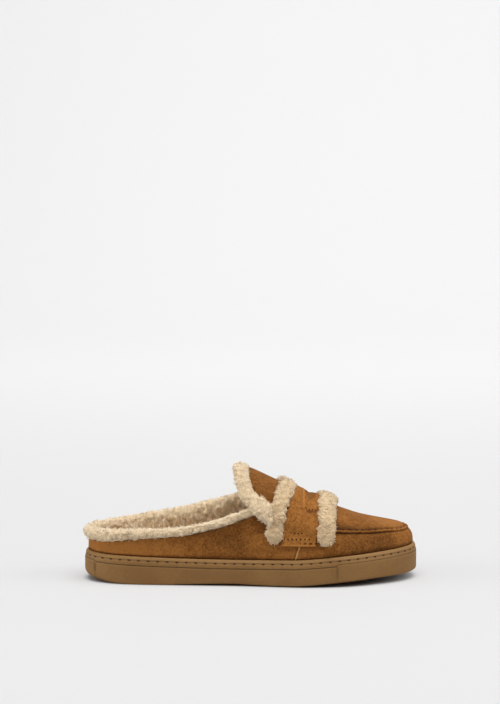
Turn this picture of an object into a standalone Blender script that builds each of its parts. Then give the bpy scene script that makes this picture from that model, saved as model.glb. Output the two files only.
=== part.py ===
"""Loafer mule for the right foot: suede upper on a moulded rubber cupsole, with shearling edges.

The pieces are those that a maker puts together: the cupsole, a footbed laid into it, a hollow
upper lasted between the two, a tongue and a saddle strap laid over the instep, and a shearling
roll along each cut edge. X runs from heel to toe, +Y is the inner side of the foot, Z is up,
and the origin is on the floor under the middle of the shoe.
"""

import math
from bisect import bisect_right
from collections import namedtuple

import bmesh
import bpy
from mathutils import Vector

MM = 0.001
LATERAL, MEDIAL = -1, 1

# Cupsole
SOLE_LENGTH = 270 * MM
BALL_WIDTH = 97 * MM
SOLE_WALL = 21.5 * MM
TOE_SPRING = 6.5 * MM
CUP_FLOOR = 8 * MM
LIP_SETBACK = 2.4 * MM
LIP_THICKNESS = 1.8 * MM
EDGE_ROUND = 1.6 * MM
HEEL_ROUND = 5 * MM
PANEL_RECESS = 0.7 * MM
PANEL_DROP = 8 * MM
BUMPER_RAISE = 1.4 * MM
STITCH_DROP = 4 * MM
STITCH_GROOVE = 0.7 * MM
TOE_BUMPER = 66 * MM
HEEL_BUMPER = 9 * MM
TREAD_DEPTH = 1.5 * MM
TREAD_GROOVE = 2.4 * MM
TREAD_PITCH = 9 * MM
TREAD_RIM = 7 * MM
WAIST_REAR = -38 * MM
WAIST_FRONT = 10 * MM

# Clearance between pieces that touch on the real shoe
FIT_GAP = 0.3 * MM

# Footbed
FOOTBED_THICKNESS = 11.5 * MM
FOOTBED_ROUND = 2 * MM
FOOTBED_DISH = 2.4 * MM

# Upper
SUEDE = 2.2 * MM
LAST_HEIGHT = 100 * MM
FEATHER_INSET = 3 * MM
LIP_CLEAR = 1.6 * MM
APRON_LIP = 1.4 * MM
APRON_STEP = 1.0 * MM

# Tongue and saddle strap
TONGUE_THICKNESS = 2.5 * MM
STRAP_THICKNESS = 2.6 * MM
STRAP_END_HEIGHT = 32.5 * MM
STRAP_REAR_TOP = 35 * MM
STRAP_REAR_FOOT = 23.5 * MM
STRAP_FRONT_TOP = 58 * MM
STRAP_FRONT_FOOT = 51.5 * MM
SLOT_LENGTH = 34 * MM
SLOT_WIDTH = 11 * MM

# Shearling rolls: width across the edge that they cover, and height off the suede
COLLAR_ROLL_WIDTH = 12 * MM
COLLAR_ROLL_HEIGHT = 10.5 * MM
COLLAR_ROLL_INSET = 2.6 * MM
COLLAR_HEEL_OUTSET = 2.2 * MM
COLLAR_ROLL_FRONT = 6 * MM
TONGUE_ROLL_WIDTH = 14 * MM
TONGUE_ROLL_HEIGHT = 9 * MM
TONGUE_ROLL_END = 13.5 * MM
STRAP_ROLL_WIDTH = 13 * MM
STRAP_ROLL_HEIGHT = 7.2 * MM
STRAP_ROLL_REACH = 0.985
TUFT_DEPTH = 0.13
TUFT_LENGTH = 4.6 * MM

# How finely the forms are cut
OUTLINE_STEPS = 36
ROLL_SIDES = 10
ACROSS_STEPS = 14
ALONG_STEPS = 5
COLLAR_STEPS = 44
STRAP_ROLL_STEPS = 36
TONGUE_SIDE_STEPS = 11
TONGUE_REAR_STEPS = 9
SHARP_ANGLE = 40

# Plan of the sole: its middle line and half width, as shares of the ball width
Plan = namedtuple("Plan", "share centre half")
PLAN = [
    Plan(0.00, -0.016, 0.340),
    Plan(0.10, -0.016, 0.346),
    Plan(0.22, -0.026, 0.352),
    Plan(0.35, -0.050, 0.352),
    Plan(0.46, -0.054, 0.370),
    Plan(0.56, -0.036, 0.425),
    Plan(0.65, -0.016, 0.478),
    Plan(0.72, 0.002, 0.492),
    Plan(0.80, 0.022, 0.472),
    Plan(0.88, 0.046, 0.420),
    Plan(0.95, 0.062, 0.372),
    Plan(1.00, 0.070, 0.350),
]
END_FULLNESS = 8

# Height of the sole's top edge above its tread, as shares of the side wall
Edge = namedtuple("Edge", "share top")
SOLE_EDGE = [
    Edge(0.00, 1.12),
    Edge(0.12, 1.06),
    Edge(0.28, 1.00),
    Edge(0.45, 0.97),
    Edge(0.62, 1.00),
    Edge(0.78, 1.02),
    Edge(0.90, 1.01),
    Edge(1.00, 0.99),
]
SPRING_START = 0.63
SPRING_POWER = 1.12
HEEL_ROUND_END = 0.16

# The last: height of its spine, as shares of its full height, and how full each section is
Last = namedtuple("Last", "share height fullness")
LAST = [
    Last(0.00, 1.000, 2.00),
    Last(0.38, 1.000, 2.00),
    Last(0.49, 0.883, 2.00),
    Last(0.58, 0.766, 2.00),
    Last(0.64, 0.683, 2.04),
    Last(0.67, 0.640, 2.08),
    Last(0.70, 0.618, 2.12),
    Last(0.77, 0.556, 2.20),
    Last(0.83, 0.508, 2.30),
    Last(0.87, 0.485, 2.38),
    Last(1.00, 0.450, 2.44),
]
SPINE_HEEL, SPINE_TOE, SPINE_SOFT = 0.22, 0.875, 0.095

# Cut edge of the collar on each side and the apron's seam, as shares of the last's height
Collar = namedtuple("Collar", "share lateral medial apron")
COLLAR = [
    Collar(0.00, 0.332, 0.332, 0.290),
    Collar(0.05, 0.332, 0.334, 0.290),
    Collar(0.16, 0.360, 0.384, 0.315),
    Collar(0.30, 0.394, 0.452, 0.335),
    Collar(0.40, 0.456, 0.526, 0.370),
    Collar(0.46, 0.514, 0.576, 0.395),
    Collar(0.52, 0.570, 0.616, 0.420),
    Collar(0.57, 0.610, 0.640, 0.440),
    Collar(0.61, 0.680, 0.690, 0.450),
    Collar(0.64, 0.760, 0.760, 0.450),
    Collar(0.80, 0.980, 0.980, 0.444),
    Collar(1.00, 0.990, 0.990, 0.424),
]
APRON_FADE_START, APRON_FADE_END = 0.700, 0.765

# Side edge of the tongue, as shares of the last's height
Tongue = namedtuple("Tongue", "share edge")
TONGUE = [
    Tongue(0.480, 0.830),
    Tongue(0.502, 0.800),
    Tongue(0.545, 0.705),
    Tongue(0.582, 0.615),
    Tongue(0.620, 0.540),
    Tongue(0.680, 0.480),
]
TONGUE_REAR, TONGUE_FRONT, TONGUE_CORNER = 0.490, 0.676, 0.014

COLOURS = {
    "rubber": (0.205, 0.115, 0.045),
    "suede": (0.230, 0.085, 0.018),
    "shearling": (0.640, 0.475, 0.320),
    "footbed": (0.600, 0.440, 0.290),
}
ROUGHNESS = {"rubber": 0.55, "suede": 0.9, "shearling": 1.0, "footbed": 1.0}


def along(table, column, share):
    """A table's column at a share of the length, on a smooth curve through its rows."""
    at = [row.share for row in table]
    value = [getattr(row, column) for row in table]
    last_row = len(table) - 1
    i = min(max(bisect_right(at, share) - 1, 0), last_row - 1)

    def slope(k):
        low, high = max(k - 1, 0), min(k + 1, last_row)
        return (value[high] - value[low]) / (at[high] - at[low])

    span = at[i + 1] - at[i]
    t = min(max((share - at[i]) / span, 0), 1)
    rise = value[i + 1] - value[i]
    start, end = slope(i) * span, slope(i + 1) * span
    return value[i] + t * (start + t * (3 * rise - 2 * start - end + t * (start + end - 2 * rise)))


def smooth_step(low, high, value):
    t = min(max((value - low) / (high - low), 0), 1)
    return t * t * (3 - 2 * t)


def share_of(x):
    return x / SOLE_LENGTH + 0.5


def angle_at(share):
    """Outline angle, 0 at the back of the heel and pi at the tip of the toe."""
    return math.acos(min(max(1 - 2 * share, -1), 1))


def share_at(angle):
    return (1 - math.cos(angle)) / 2


def plan_point(side, angle):
    share = share_at(angle)
    roundness = math.sqrt(max(1 - abs(math.cos(angle)) ** END_FULLNESS, 0))
    width = side * along(PLAN, "half", share) * math.copysign(roundness, math.sin(angle))
    return Vector((SOLE_LENGTH * (share - 0.5), BALL_WIDTH * (along(PLAN, "centre", share) + width)))


def outline(side, angle, inset=0.0):
    """Point of the sole's plan outline, moved inwards by an inset."""
    step = 1e-3
    run = plan_point(side, angle + step) - plan_point(side, angle - step)
    inward = Vector((run.y, -run.x)).normalized() * side
    return plan_point(side, angle) + inward * inset


def spring(share):
    """Height of the tread over the floor: none as far as the ball, then up to the toe."""
    past = max(0, (share - SPRING_START) / (1 - SPRING_START))
    return TOE_SPRING * past**SPRING_POWER


def sole_top(share):
    return spring(share) + SOLE_WALL * along(SOLE_EDGE, "top", share)


def stations(*extra_shares):
    """Outline angles from heel to toe, with one more at each share that a step needs."""
    even = [math.pi * i / OUTLINE_STEPS for i in range(OUTLINE_STEPS + 1)]
    extra = [angle_at(share) for share in extra_shares]
    nearest = 0.2 * math.pi / OUTLINE_STEPS
    kept = [a for a in even if all(abs(a - b) > nearest for b in extra)]
    return sorted(kept + extra)


def mesh_object(name, bm, material):
    mesh = bpy.data.meshes.new(name)
    bm.to_mesh(mesh)
    bm.free()
    mesh.shade_smooth()
    mesh.set_sharp_from_angle(angle=math.radians(SHARP_ANGLE))
    mesh.materials.append(material)
    made = bpy.data.objects.new(name, mesh)
    bpy.data.collections["clog_slipper"].objects.link(made)
    return made


def ring_loft(rings):
    """Closed loops of equal length joined into one skin; a cap runs from side to side."""
    bm = bmesh.new()
    loops = [[bm.verts.new(point) for point in ring] for ring in rings]
    count = len(rings[0])
    for lower, upper in zip(loops, loops[1:]):
        for i in range(count):
            j = (i + 1) % count
            bm.faces.new((lower[i], lower[j], upper[j], upper[i]))
    for loop in (loops[0], loops[-1]):
        for i in range(count // 2):
            left, right = loop[i : i + 2], [loop[-i % count], loop[-i - 1]]
            corners = dict.fromkeys(left + right[::-1])
            bm.faces.new(corners)
    bmesh.ops.recalc_face_normals(bm, faces=bm.faces)
    return bm


def sole_ring(angles, inset, height):
    """One loop round the sole: inset and height may be functions of the share of the length."""
    ring = []
    for side, order in ((LATERAL, angles), (MEDIAL, angles[-2:0:-1])):
        for angle in order:
            share = share_at(angle)
            point = outline(side, angle, inset(share))
            ring.append(Vector((point.x, point.y, height(share))))
    return ring


def bumper(share):
    """1 on the toe and heel bumpers, 0 on the recessed side panel between them."""
    x = SOLE_LENGTH * share
    return float(x < HEEL_BUMPER or x > SOLE_LENGTH - TOE_BUMPER)


def bumper_edges():
    step = 0.4 * MM / SOLE_LENGTH
    toe, heel = 1 - TOE_BUMPER / SOLE_LENGTH, HEEL_BUMPER / SOLE_LENGTH
    return heel - step, heel + step, toe - step, toe + step


def edge_round(share):
    heel = max(0, 1 - share / HEEL_ROUND_END)
    return EDGE_ROUND + HEEL_ROUND * heel**1.5


def cup_inset():
    return LIP_SETBACK + LIP_THICKNESS


def build_outsole(material):
    """The cupsole: rounded foot, recessed side panel, stitched band, thin lip and the cup."""
    angles = stations(*bumper_edges())

    def panel(share):
        return PANEL_RECESS * (1 - bumper(share))

    def panel_top(share):
        return sole_top(share) - PANEL_DROP + BUMPER_RAISE * bumper(share)

    def foot(turn):
        """Inset and height of the rounded foot at a turn from flat to upright."""
        return (
            lambda s: edge_round(s) * (1 - math.sin(turn)) + panel(s) * math.sin(turn),
            lambda s: spring(s) + edge_round(s) * (1 - math.cos(turn)),
        )

    def below_top(inset, drop):
        return (lambda s: inset, lambda s: sole_top(s) - drop)

    profile = [foot(math.radians(turn)) for turn in (0, 35, 65, 90)]
    profile += [
        (panel, panel_top),
        (lambda s: PANEL_RECESS + 0.3 * MM, lambda s: panel_top(s) + 0.5 * MM),
        (lambda s: 0.35 * MM, lambda s: panel_top(s) + 1.1 * MM),
        below_top(0.5 * MM, STITCH_DROP + 1.0 * MM),
        below_top(0.6 * MM + STITCH_GROOVE, STITCH_DROP),
        below_top(0.8 * MM, STITCH_DROP - 1.0 * MM),
        below_top(0.62 * LIP_SETBACK, 0.9 * MM),
        below_top(LIP_SETBACK, 0),
        below_top(cup_inset(), 0),
        (lambda s: cup_inset(), lambda s: spring(s) + CUP_FLOOR),
    ]
    bm = ring_loft([sole_ring(angles, inset, height) for inset, height in profile])
    outsole = mesh_object("outsole", bm, material)
    cut_tread(outsole)
    return outsole


def cut_tread(outsole):
    """Grooves across the forefoot and the heel, with a plain waist and a rim left round them."""
    first, length = TREAD_RIM * 2, SOLE_LENGTH - TREAD_RIM * 5
    count = int(length / TREAD_PITCH)
    bm = bmesh.new()
    for i in range(count + 1):
        share = (first + i * TREAD_PITCH) / SOLE_LENGTH
        if share_of(WAIST_REAR) < share < share_of(WAIST_FRONT):
            continue
        ends = [outline(side, angle_at(share), TREAD_RIM) for side in (LATERAL, MEDIAL)]
        if ends[1].y - ends[0].y < TREAD_RIM:
            continue
        made = bmesh.ops.create_cube(bm, size=1)["verts"]
        size = (TREAD_GROOVE, ends[1].y - ends[0].y, 2 * TREAD_DEPTH)
        bmesh.ops.scale(bm, vec=size, verts=made)
        middle = (ends[0] + ends[1]) / 2
        lift = spring(share)
        bmesh.ops.translate(bm, vec=(middle.x, middle.y, lift), verts=made)
    cutter = mesh_object("tread_cutter", bm, outsole.data.materials[0])
    move_to_cutters(cutter)
    cut(outsole, cutter)


def move_to_cutters(cutter):
    bpy.data.collections["clog_slipper"].objects.unlink(cutter)
    bpy.data.collections["cutters"].objects.link(cutter)
    cutter.hide_render = True
    cutter.display_type = "WIRE"


def cut(target, cutter):
    boolean = target.modifiers.new("cut", "BOOLEAN")
    boolean.operation = "DIFFERENCE"
    boolean.object = cutter


def skirt_inset():
    """Inset of the upper where it goes down inside the cup."""
    return cup_inset() + FIT_GAP + 0.1 * MM


def build_footbed(material):
    """The cushioned footbed, dished for the heel and ball, inside the foot of the upper."""
    angles = stations()
    edge = skirt_inset() + SUEDE + 2 * FIT_GAP
    bottom = CUP_FLOOR + FIT_GAP

    def ring(inset, height):
        return sole_ring(angles, lambda s: inset, lambda s: spring(s) + height)

    top = bottom + FOOTBED_THICKNESS
    rings = [
        ring(edge, bottom),
        ring(edge, top - FOOTBED_ROUND),
        ring(edge + 0.4 * FOOTBED_ROUND, top - 0.35 * FOOTBED_ROUND),
        ring(edge + 1.6 * FOOTBED_ROUND, top),
        ring(edge + 0.09 * BALL_WIDTH, top - 0.5 * FOOTBED_DISH),
        ring(edge + 0.17 * BALL_WIDTH, top - FOOTBED_DISH),
    ]
    return mesh_object("footbed", ring_loft(rings), material)


def spine_share(share):
    """Where a section meets the spine: below itself amidships, gathered in at heel and toe."""
    past_toe = share - (SPINE_TOE - SPINE_SOFT)
    if past_toe > 0:
        return SPINE_TOE - SPINE_SOFT * math.exp(-past_toe / SPINE_SOFT)
    before_heel = SPINE_HEEL + SPINE_SOFT - share
    if before_heel > 0:
        return SPINE_HEEL + SPINE_SOFT * math.exp(-before_heel / SPINE_SOFT)
    return share


def section(angle):
    """Base height, spine height and superellipse power of the last's section."""
    share = share_at(angle)
    ridge = LAST_HEIGHT * along(LAST, "height", spine_share(share))
    return sole_top(share) + LIP_CLEAR, ridge, 2 / along(LAST, "fullness", share)


def last(side, angle, turn):
    """Point of the last: turn goes from 0 at the sole's edge to 1 at the spine over the foot."""
    base, ridge, power = section(angle)
    share = spine_share(share_at(angle))
    spine = Vector((SOLE_LENGTH * (share - 0.5), BALL_WIDTH * along(PLAN, "centre", share)))
    swing = min(max(turn, 0), 1) * math.pi / 2
    inward = 1 - max(math.cos(swing), 0) ** power
    point = outline(side, angle, FEATHER_INSET).lerp(spine, inward)
    return Vector((point.x, point.y, base + (ridge - base) * math.sin(swing) ** power))


def slope_normal(side, angle, turn):
    """Which way the last faces on one side."""
    step = 1e-3
    middle = min(max(turn, 2 * step), 0.985)
    run = last(side, angle + step, middle) - last(side, angle - step, middle)
    climb = last(side, angle, middle + step) - last(side, angle, middle - step)
    return run.cross(climb).normalized() * -side


def normal_at(side, angle, turn):
    """Which way the last faces: over the spine both sides are averaged, so that they meet."""
    own = slope_normal(side, angle, turn)
    near_spine = smooth_step(0.9, 1, turn) / 2
    return own.lerp(slope_normal(-side, angle, turn), near_spine).normalized()


def skin(side, angle, turn, offset):
    """Point at an offset out from the last."""
    return last(side, angle, turn) + normal_at(side, angle, turn) * offset


def turn_at(angle, height):
    """How far up the section a height lies."""
    base, ridge, power = section(angle)
    climb = min(max((height - base) / (ridge - base), 0), 1)
    return math.asin(climb ** (1 / power)) * 2 / math.pi


def collar_turn(side, angle):
    column = "lateral" if side == LATERAL else "medial"
    return turn_at(angle, LAST_HEIGHT * along(COLLAR, column, share_at(angle)))


def upper_column(side, angle):
    """Points up one section of the upper's outer face, from inside the cup to its cut edge."""
    share = share_at(angle)
    foot = outline(side, angle, skirt_inset())
    low = spring(share) + CUP_FLOOR + FIT_GAP
    points = [Vector((foot.x, foot.y, z)) for z in (low, sole_top(share) + FIT_GAP)]
    edge = collar_turn(side, angle)
    seam = min(turn_at(angle, LAST_HEIGHT * along(COLLAR, "apron", share)), 0.8 * edge)
    points += [last(side, angle, seam * part) for part in (0, 0.3, 0.65, 1)]
    raised = smooth_step(APRON_FADE_START, APRON_FADE_END, share)
    width = (edge - seam) * 0.09
    points.append(skin(side, angle, seam + width, APRON_LIP * raised))
    points.append(skin(side, angle, seam + 2.2 * width, APRON_STEP * raised))
    for part in (0.45, 0.7, 0.88, 1):
        points.append(skin(side, angle, seam + (edge - seam) * part, APRON_STEP * raised))
    return points


def build_upper(material):
    """The hollow suede upper: vamp, sides and low heel in one wall, with a raised apron seam."""
    angles = stations()
    bm = bmesh.new()
    for side in (LATERAL, MEDIAL):
        columns = [[bm.verts.new(p) for p in upper_column(side, angle)] for angle in angles]
        for here, there in zip(columns, columns[1:]):
            for k in range(len(here) - 1):
                corners = (here[k], there[k], there[k + 1], here[k + 1])
                bm.faces.new(corners if side == LATERAL else corners[::-1])
    bmesh.ops.remove_doubles(bm, verts=bm.verts, dist=0.02 * MM)
    upper = mesh_object("upper", bm, material)
    add_wall(upper, SUEDE, outward=False)
    return upper


def add_wall(sheet, thickness, outward):
    wall = sheet.modifiers.new("wall", "SOLIDIFY")
    wall.thickness = thickness
    wall.offset = 1 if outward else -1
    wall.use_even_offset = True


def sheet_over_instep(name, rear, front, edge_turn, offset, material):
    """An open sheet laid over the instep from side to side, between two cross lines."""
    bm = bmesh.new()
    grid = []
    for i in range(2 * ACROSS_STEPS + 1):
        across = i / ACROSS_STEPS - 1
        side = LATERAL if across < 0 else MEDIAL
        row = []
        for j in range(ALONG_STEPS + 1):
            share = rear(abs(across)) + (front(abs(across)) - rear(abs(across))) * j / ALONG_STEPS
            angle = angle_at(share)
            turn = 1 - abs(across) * (1 - edge_turn(angle))
            row.append(bm.verts.new(skin(side, angle, turn, offset(angle, turn))))
        grid.append(row)
    for here, there in zip(grid, grid[1:]):
        for j in range(ALONG_STEPS):
            bm.faces.new((here[j], here[j + 1], there[j + 1], there[j]))
    return mesh_object(name, bm, material)


def tongue_edge_turn(angle):
    return turn_at(angle, LAST_HEIGHT * along(TONGUE, "edge", share_at(angle)))


def tongue_rear(across):
    return TONGUE_REAR + TONGUE_CORNER * across**3


def build_tongue(material):
    """The tongue: it stands up behind the strap and runs forward under it."""
    tongue = sheet_over_instep(
        "tongue",
        rear=tongue_rear,
        front=lambda across: TONGUE_FRONT,
        edge_turn=tongue_edge_turn,
        offset=lambda angle, turn: FIT_GAP,
        material=material,
    )
    add_wall(tongue, TONGUE_THICKNESS, outward=True)
    return tongue


def over_tongue(angle, turn):
    """Lowest offset for what lies over the upper: one gap up, or two and the tongue's thickness."""
    height = last(MEDIAL, angle, turn).z
    edge = LAST_HEIGHT * along(TONGUE, "edge", share_at(angle))
    covered = smooth_step(edge - 9 * MM, edge - 1 * MM, height)
    return FIT_GAP + covered * (TONGUE_THICKNESS + FIT_GAP) + APRON_STEP * apron_cover(angle, turn)


def apron_cover(angle, turn):
    """How much of the apron's step lies under a point."""
    share = share_at(angle)
    seam = turn_at(angle, LAST_HEIGHT * along(COLLAR, "apron", share))
    raised = smooth_step(APRON_FADE_START, APRON_FADE_END, share)
    return raised * smooth_step(seam - 0.14, seam, turn) * (APRON_LIP / APRON_STEP)


def strap_line(top, foot):
    """Share of the length along a strap edge, from its top over the spine down to its end."""
    return lambda across: share_of(top + (foot - top) * across)


def strap_end_turn(angle):
    return turn_at(angle, STRAP_END_HEIGHT)


def build_strap(material):
    """The saddle strap with the slot that a loafer has over the instep."""
    strap = sheet_over_instep(
        "saddle_strap",
        rear=strap_line(STRAP_REAR_TOP, STRAP_REAR_FOOT),
        front=strap_line(STRAP_FRONT_TOP, STRAP_FRONT_FOOT),
        edge_turn=strap_end_turn,
        offset=over_tongue,
        material=material,
    )
    add_wall(strap, STRAP_THICKNESS, outward=True)
    bm = bmesh.new()
    middle = share_of((STRAP_REAR_TOP + STRAP_FRONT_TOP) / 2)
    top = skin(LATERAL, angle_at(middle), 1, 0)
    ahead = skin(LATERAL, angle_at(middle + 0.01), 1, 0)
    bmesh.ops.create_cone(
        bm, cap_ends=True, segments=20, radius1=0.5, radius2=0.5, depth=12 * STRAP_THICKNESS
    )
    for vert in bm.verts:
        reach = min(abs(vert.co.y) * 2, 1)
        vert.co.x *= SLOT_WIDTH * (1 - 0.35 * reach)
        vert.co.y *= SLOT_LENGTH
    slope = math.atan2(ahead.z - top.z, ahead.x - top.x)
    cutter = mesh_object("slot_cutter", bm, material)
    cutter.location = top
    cutter.rotation_euler = (0, -slope, 0)
    move_to_cutters(cutter)
    cut(strap, cutter)
    return strap


def tuft(distance, turn):
    """Share of the full radius left where curls meet: 1 at a tuft, less between two."""
    phase = 2 * math.pi * distance / TUFT_LENGTH
    wave = math.sin(phase + 2 * turn) * math.sin(0.37 * phase - 3 * turn)
    return 1 - TUFT_DEPTH * (0.5 + 0.5 * wave)


def build_roll(name, frames, material):
    """A shearling roll: an oval, tufted section swept along (centre, across, out) frames."""
    bm = bmesh.new()
    travelled, rings = 0.0, []
    for i, (centre, across, out) in enumerate(frames):
        travelled += (centre - frames[i - 1][0]).length if i else 0
        ring = []
        for k in range(ROLL_SIDES):
            turn = 2 * math.pi * k / ROLL_SIDES
            reach = tuft(travelled, turn)
            point = centre + (across * math.cos(turn) + out * math.sin(turn)) * reach
            ring.append(bm.verts.new(point))
        rings.append(ring)
    for here, there in zip(rings, rings[1:]):
        for k in range(ROLL_SIDES):
            m = (k + 1) % ROLL_SIDES
            bm.faces.new((here[k], here[m], there[m], there[k]))
    for ring in (rings[0], rings[-1]):
        bm.faces.new(ring)
    bmesh.ops.recalc_face_normals(bm, faces=bm.faces)
    return mesh_object(name, bm, material)


def round_end(travelled, total, radius):
    """Share of the section left near a rounded end."""
    left = min(travelled, total - travelled, radius) / radius
    return math.sqrt(max(1 - (1 - left) ** 2, 0.02))


Stop = namedtuple("Stop", "point normal lift down lean")


def roll_frames(stops, half_width, half_height, taper):
    """Frames of a roll that lies beside an edge line.

    Each stop on the line has the surface's normal there, how far the section's centre stands off
    the surface, which way is down the surface, and how much the section leans to lie that way.
    """
    lengths = [0.0]
    for a, b in zip(stops, stops[1:]):
        lengths.append(lengths[-1] + (b.point - a.point).length)
    frames = []
    for i, stop in enumerate(stops):
        before, after = stops[max(i - 1, 0)], stops[min(i + 1, len(stops) - 1)]
        square = (after.point - before.point).cross(stop.normal).normalized()
        away = square.lerp(stop.down, stop.lean).normalized()
        away /= away.dot(square)
        left = round_end(lengths[i], lengths[-1], taper)
        centre = stop.point + away * (half_width + FIT_GAP) + stop.normal * stop.lift
        frames.append((centre, away * half_width * left, stop.normal * half_height * left))
    return frames


def stop_on_last(side, share, turn, lift, lean=0.0):
    angle = angle_at(share)
    point = skin(side, angle, turn, 0)
    down = (skin(side, angle, turn - 0.05, 0) - point).normalized()
    return Stop(point, normal_at(side, angle, turn), lift, down, lean)


def spaced_ends(steps):
    """Shares from -1 to 1, closer together near both ends, where a roll is rounded."""
    return [math.sin(math.pi / 2 * (2 * i / steps - 1)) for i in range(steps + 1)]


def build_strap_roll(name, line, away, material):
    """The shearling along one edge of the strap, from end to end over the instep."""
    half_width, half_height = STRAP_ROLL_WIDTH / 2, STRAP_ROLL_HEIGHT / 2
    stops = []
    for reach in spaced_ends(STRAP_ROLL_STEPS)[::away]:
        across = reach * STRAP_ROLL_REACH
        side = LATERAL if across < 0 else MEDIAL
        share = line(abs(across))
        turn = 1 - abs(across) * (1 - strap_end_turn(angle_at(share)))
        lift = over_tongue(angle_at(share), turn) + half_height
        stops.append(stop_on_last(side, share, turn, lift))
    return build_roll(name, roll_frames(stops, half_width, half_height, half_width), material)


def build_tongue_roll(material):
    """The shearling round the tongue, from one side of the strap over its rear edge to the other."""
    half_width, half_height = TONGUE_ROLL_WIDTH / 2, TONGUE_ROLL_HEIGHT / 2
    corner, end = tongue_rear(1), share_of(TONGUE_ROLL_END)
    side_steps, rear_steps = TONGUE_SIDE_STEPS, TONGUE_REAR_STEPS

    def down_side(side, i):
        done = i / side_steps
        share = corner + (end - corner) * done
        over_upper = smooth_step(0.15, 0.9, done) * (half_height - TONGUE_THICKNESS / 2 + FIT_GAP)
        turn = tongue_edge_turn(angle_at(share))
        return stop_on_last(side, share, turn, TONGUE_THICKNESS / 2 + over_upper, done**1.5)

    def over_rear(i):
        across = 1 - i / rear_steps
        share = tongue_rear(abs(across))
        turn = 1 - abs(across) * (1 - tongue_edge_turn(angle_at(share)))
        return stop_on_last(MEDIAL if across > 0 else LATERAL, share, turn, TONGUE_THICKNESS / 2)

    stops = [down_side(MEDIAL, i) for i in range(side_steps, 0, -1)]
    stops += [over_rear(i) for i in range(2 * rear_steps + 1)]
    stops += [down_side(LATERAL, i) for i in range(1, side_steps + 1)]
    frames = roll_frames(stops, half_width, half_height, 0.35 * half_width)
    return build_roll("tongue_shearling", frames, material)


def build_collar_roll(material):
    """The shearling on the collar's cut edge, from the throat round the heel and back."""
    half_width, half_height = COLLAR_ROLL_WIDTH / 2, COLLAR_ROLL_HEIGHT / 2
    front = angle_at(share_of(COLLAR_ROLL_FRONT))
    frames, points = [], []
    angles = [front * (1 - i / COLLAR_STEPS) for i in range(COLLAR_STEPS + 1)]
    walk = [(LATERAL, a) for a in angles[:-1]] + [(MEDIAL, a) for a in reversed(angles)]
    for side, angle in walk:
        turn = collar_turn(side, angle)
        top = skin(side, angle, turn, 0)
        climb = (top - skin(side, angle, turn * 0.9, 0)).normalized()
        points.append((top, climb, normal_at(side, angle, turn)))
    lengths = [0.0]
    for a, b in zip(points, points[1:]):
        lengths.append(lengths[-1] + (b[0] - a[0]).length)
    for (top, climb, normal), travelled in zip(points, lengths):
        left = round_end(travelled, lengths[-1], 3.2 * half_width)
        high = half_height * left
        heel = 1 - smooth_step(0.03, 0.10, share_of(top.x))
        inset = COLLAR_ROLL_INSET - COLLAR_HEEL_OUTSET * heel
        centre = top + climb * (high + FIT_GAP) - normal * inset
        frames.append((centre, normal * half_width * left, climb * high))
    return build_roll("collar_shearling", frames, material)


def make_material(name):
    material = bpy.data.materials.new(name)
    material.use_nodes = True
    shader = material.node_tree.nodes["Principled BSDF"]
    shader.inputs["Base Color"].default_value = (*COLOURS[name], 1)
    shader.inputs["Roughness"].default_value = ROUGHNESS[name]
    shader.inputs["Metallic"].default_value = 0
    material.diffuse_color = (*COLOURS[name], 1)
    return material


def main():
    for obj in list(bpy.data.objects):
        bpy.data.objects.remove(obj)
    for name in ("clog_slipper", "cutters"):
        bpy.context.scene.collection.children.link(bpy.data.collections.new(name))
    rubber, suede, shearling, footbed = (make_material(name) for name in COLOURS)
    build_outsole(rubber)
    build_footbed(footbed)
    build_upper(suede)
    build_tongue(suede)
    build_strap(suede)
    rear_line = strap_line(STRAP_REAR_TOP, STRAP_REAR_FOOT)
    front_line = strap_line(STRAP_FRONT_TOP, STRAP_FRONT_FOOT)
    build_strap_roll("strap_shearling_rear", rear_line, -1, shearling)
    build_strap_roll("strap_shearling_front", front_line, 1, shearling)
    build_tongue_roll(shearling)
    build_collar_roll(shearling)


main()
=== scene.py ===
import math

import bmesh
import bpy
import numpy as np
from mathutils import Matrix, Vector


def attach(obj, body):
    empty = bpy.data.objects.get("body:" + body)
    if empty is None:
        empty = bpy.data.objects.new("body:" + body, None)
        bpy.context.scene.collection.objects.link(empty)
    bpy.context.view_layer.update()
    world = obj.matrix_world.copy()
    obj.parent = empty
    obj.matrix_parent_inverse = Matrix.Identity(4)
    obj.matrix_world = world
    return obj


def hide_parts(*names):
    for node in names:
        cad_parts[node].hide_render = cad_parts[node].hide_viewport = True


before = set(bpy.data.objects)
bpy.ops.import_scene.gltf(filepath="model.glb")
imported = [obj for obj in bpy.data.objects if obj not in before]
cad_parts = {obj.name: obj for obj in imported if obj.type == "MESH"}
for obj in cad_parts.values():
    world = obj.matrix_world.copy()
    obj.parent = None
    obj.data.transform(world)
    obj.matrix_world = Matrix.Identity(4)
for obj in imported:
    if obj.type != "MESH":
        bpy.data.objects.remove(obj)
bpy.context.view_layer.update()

MM = 0.001

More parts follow.
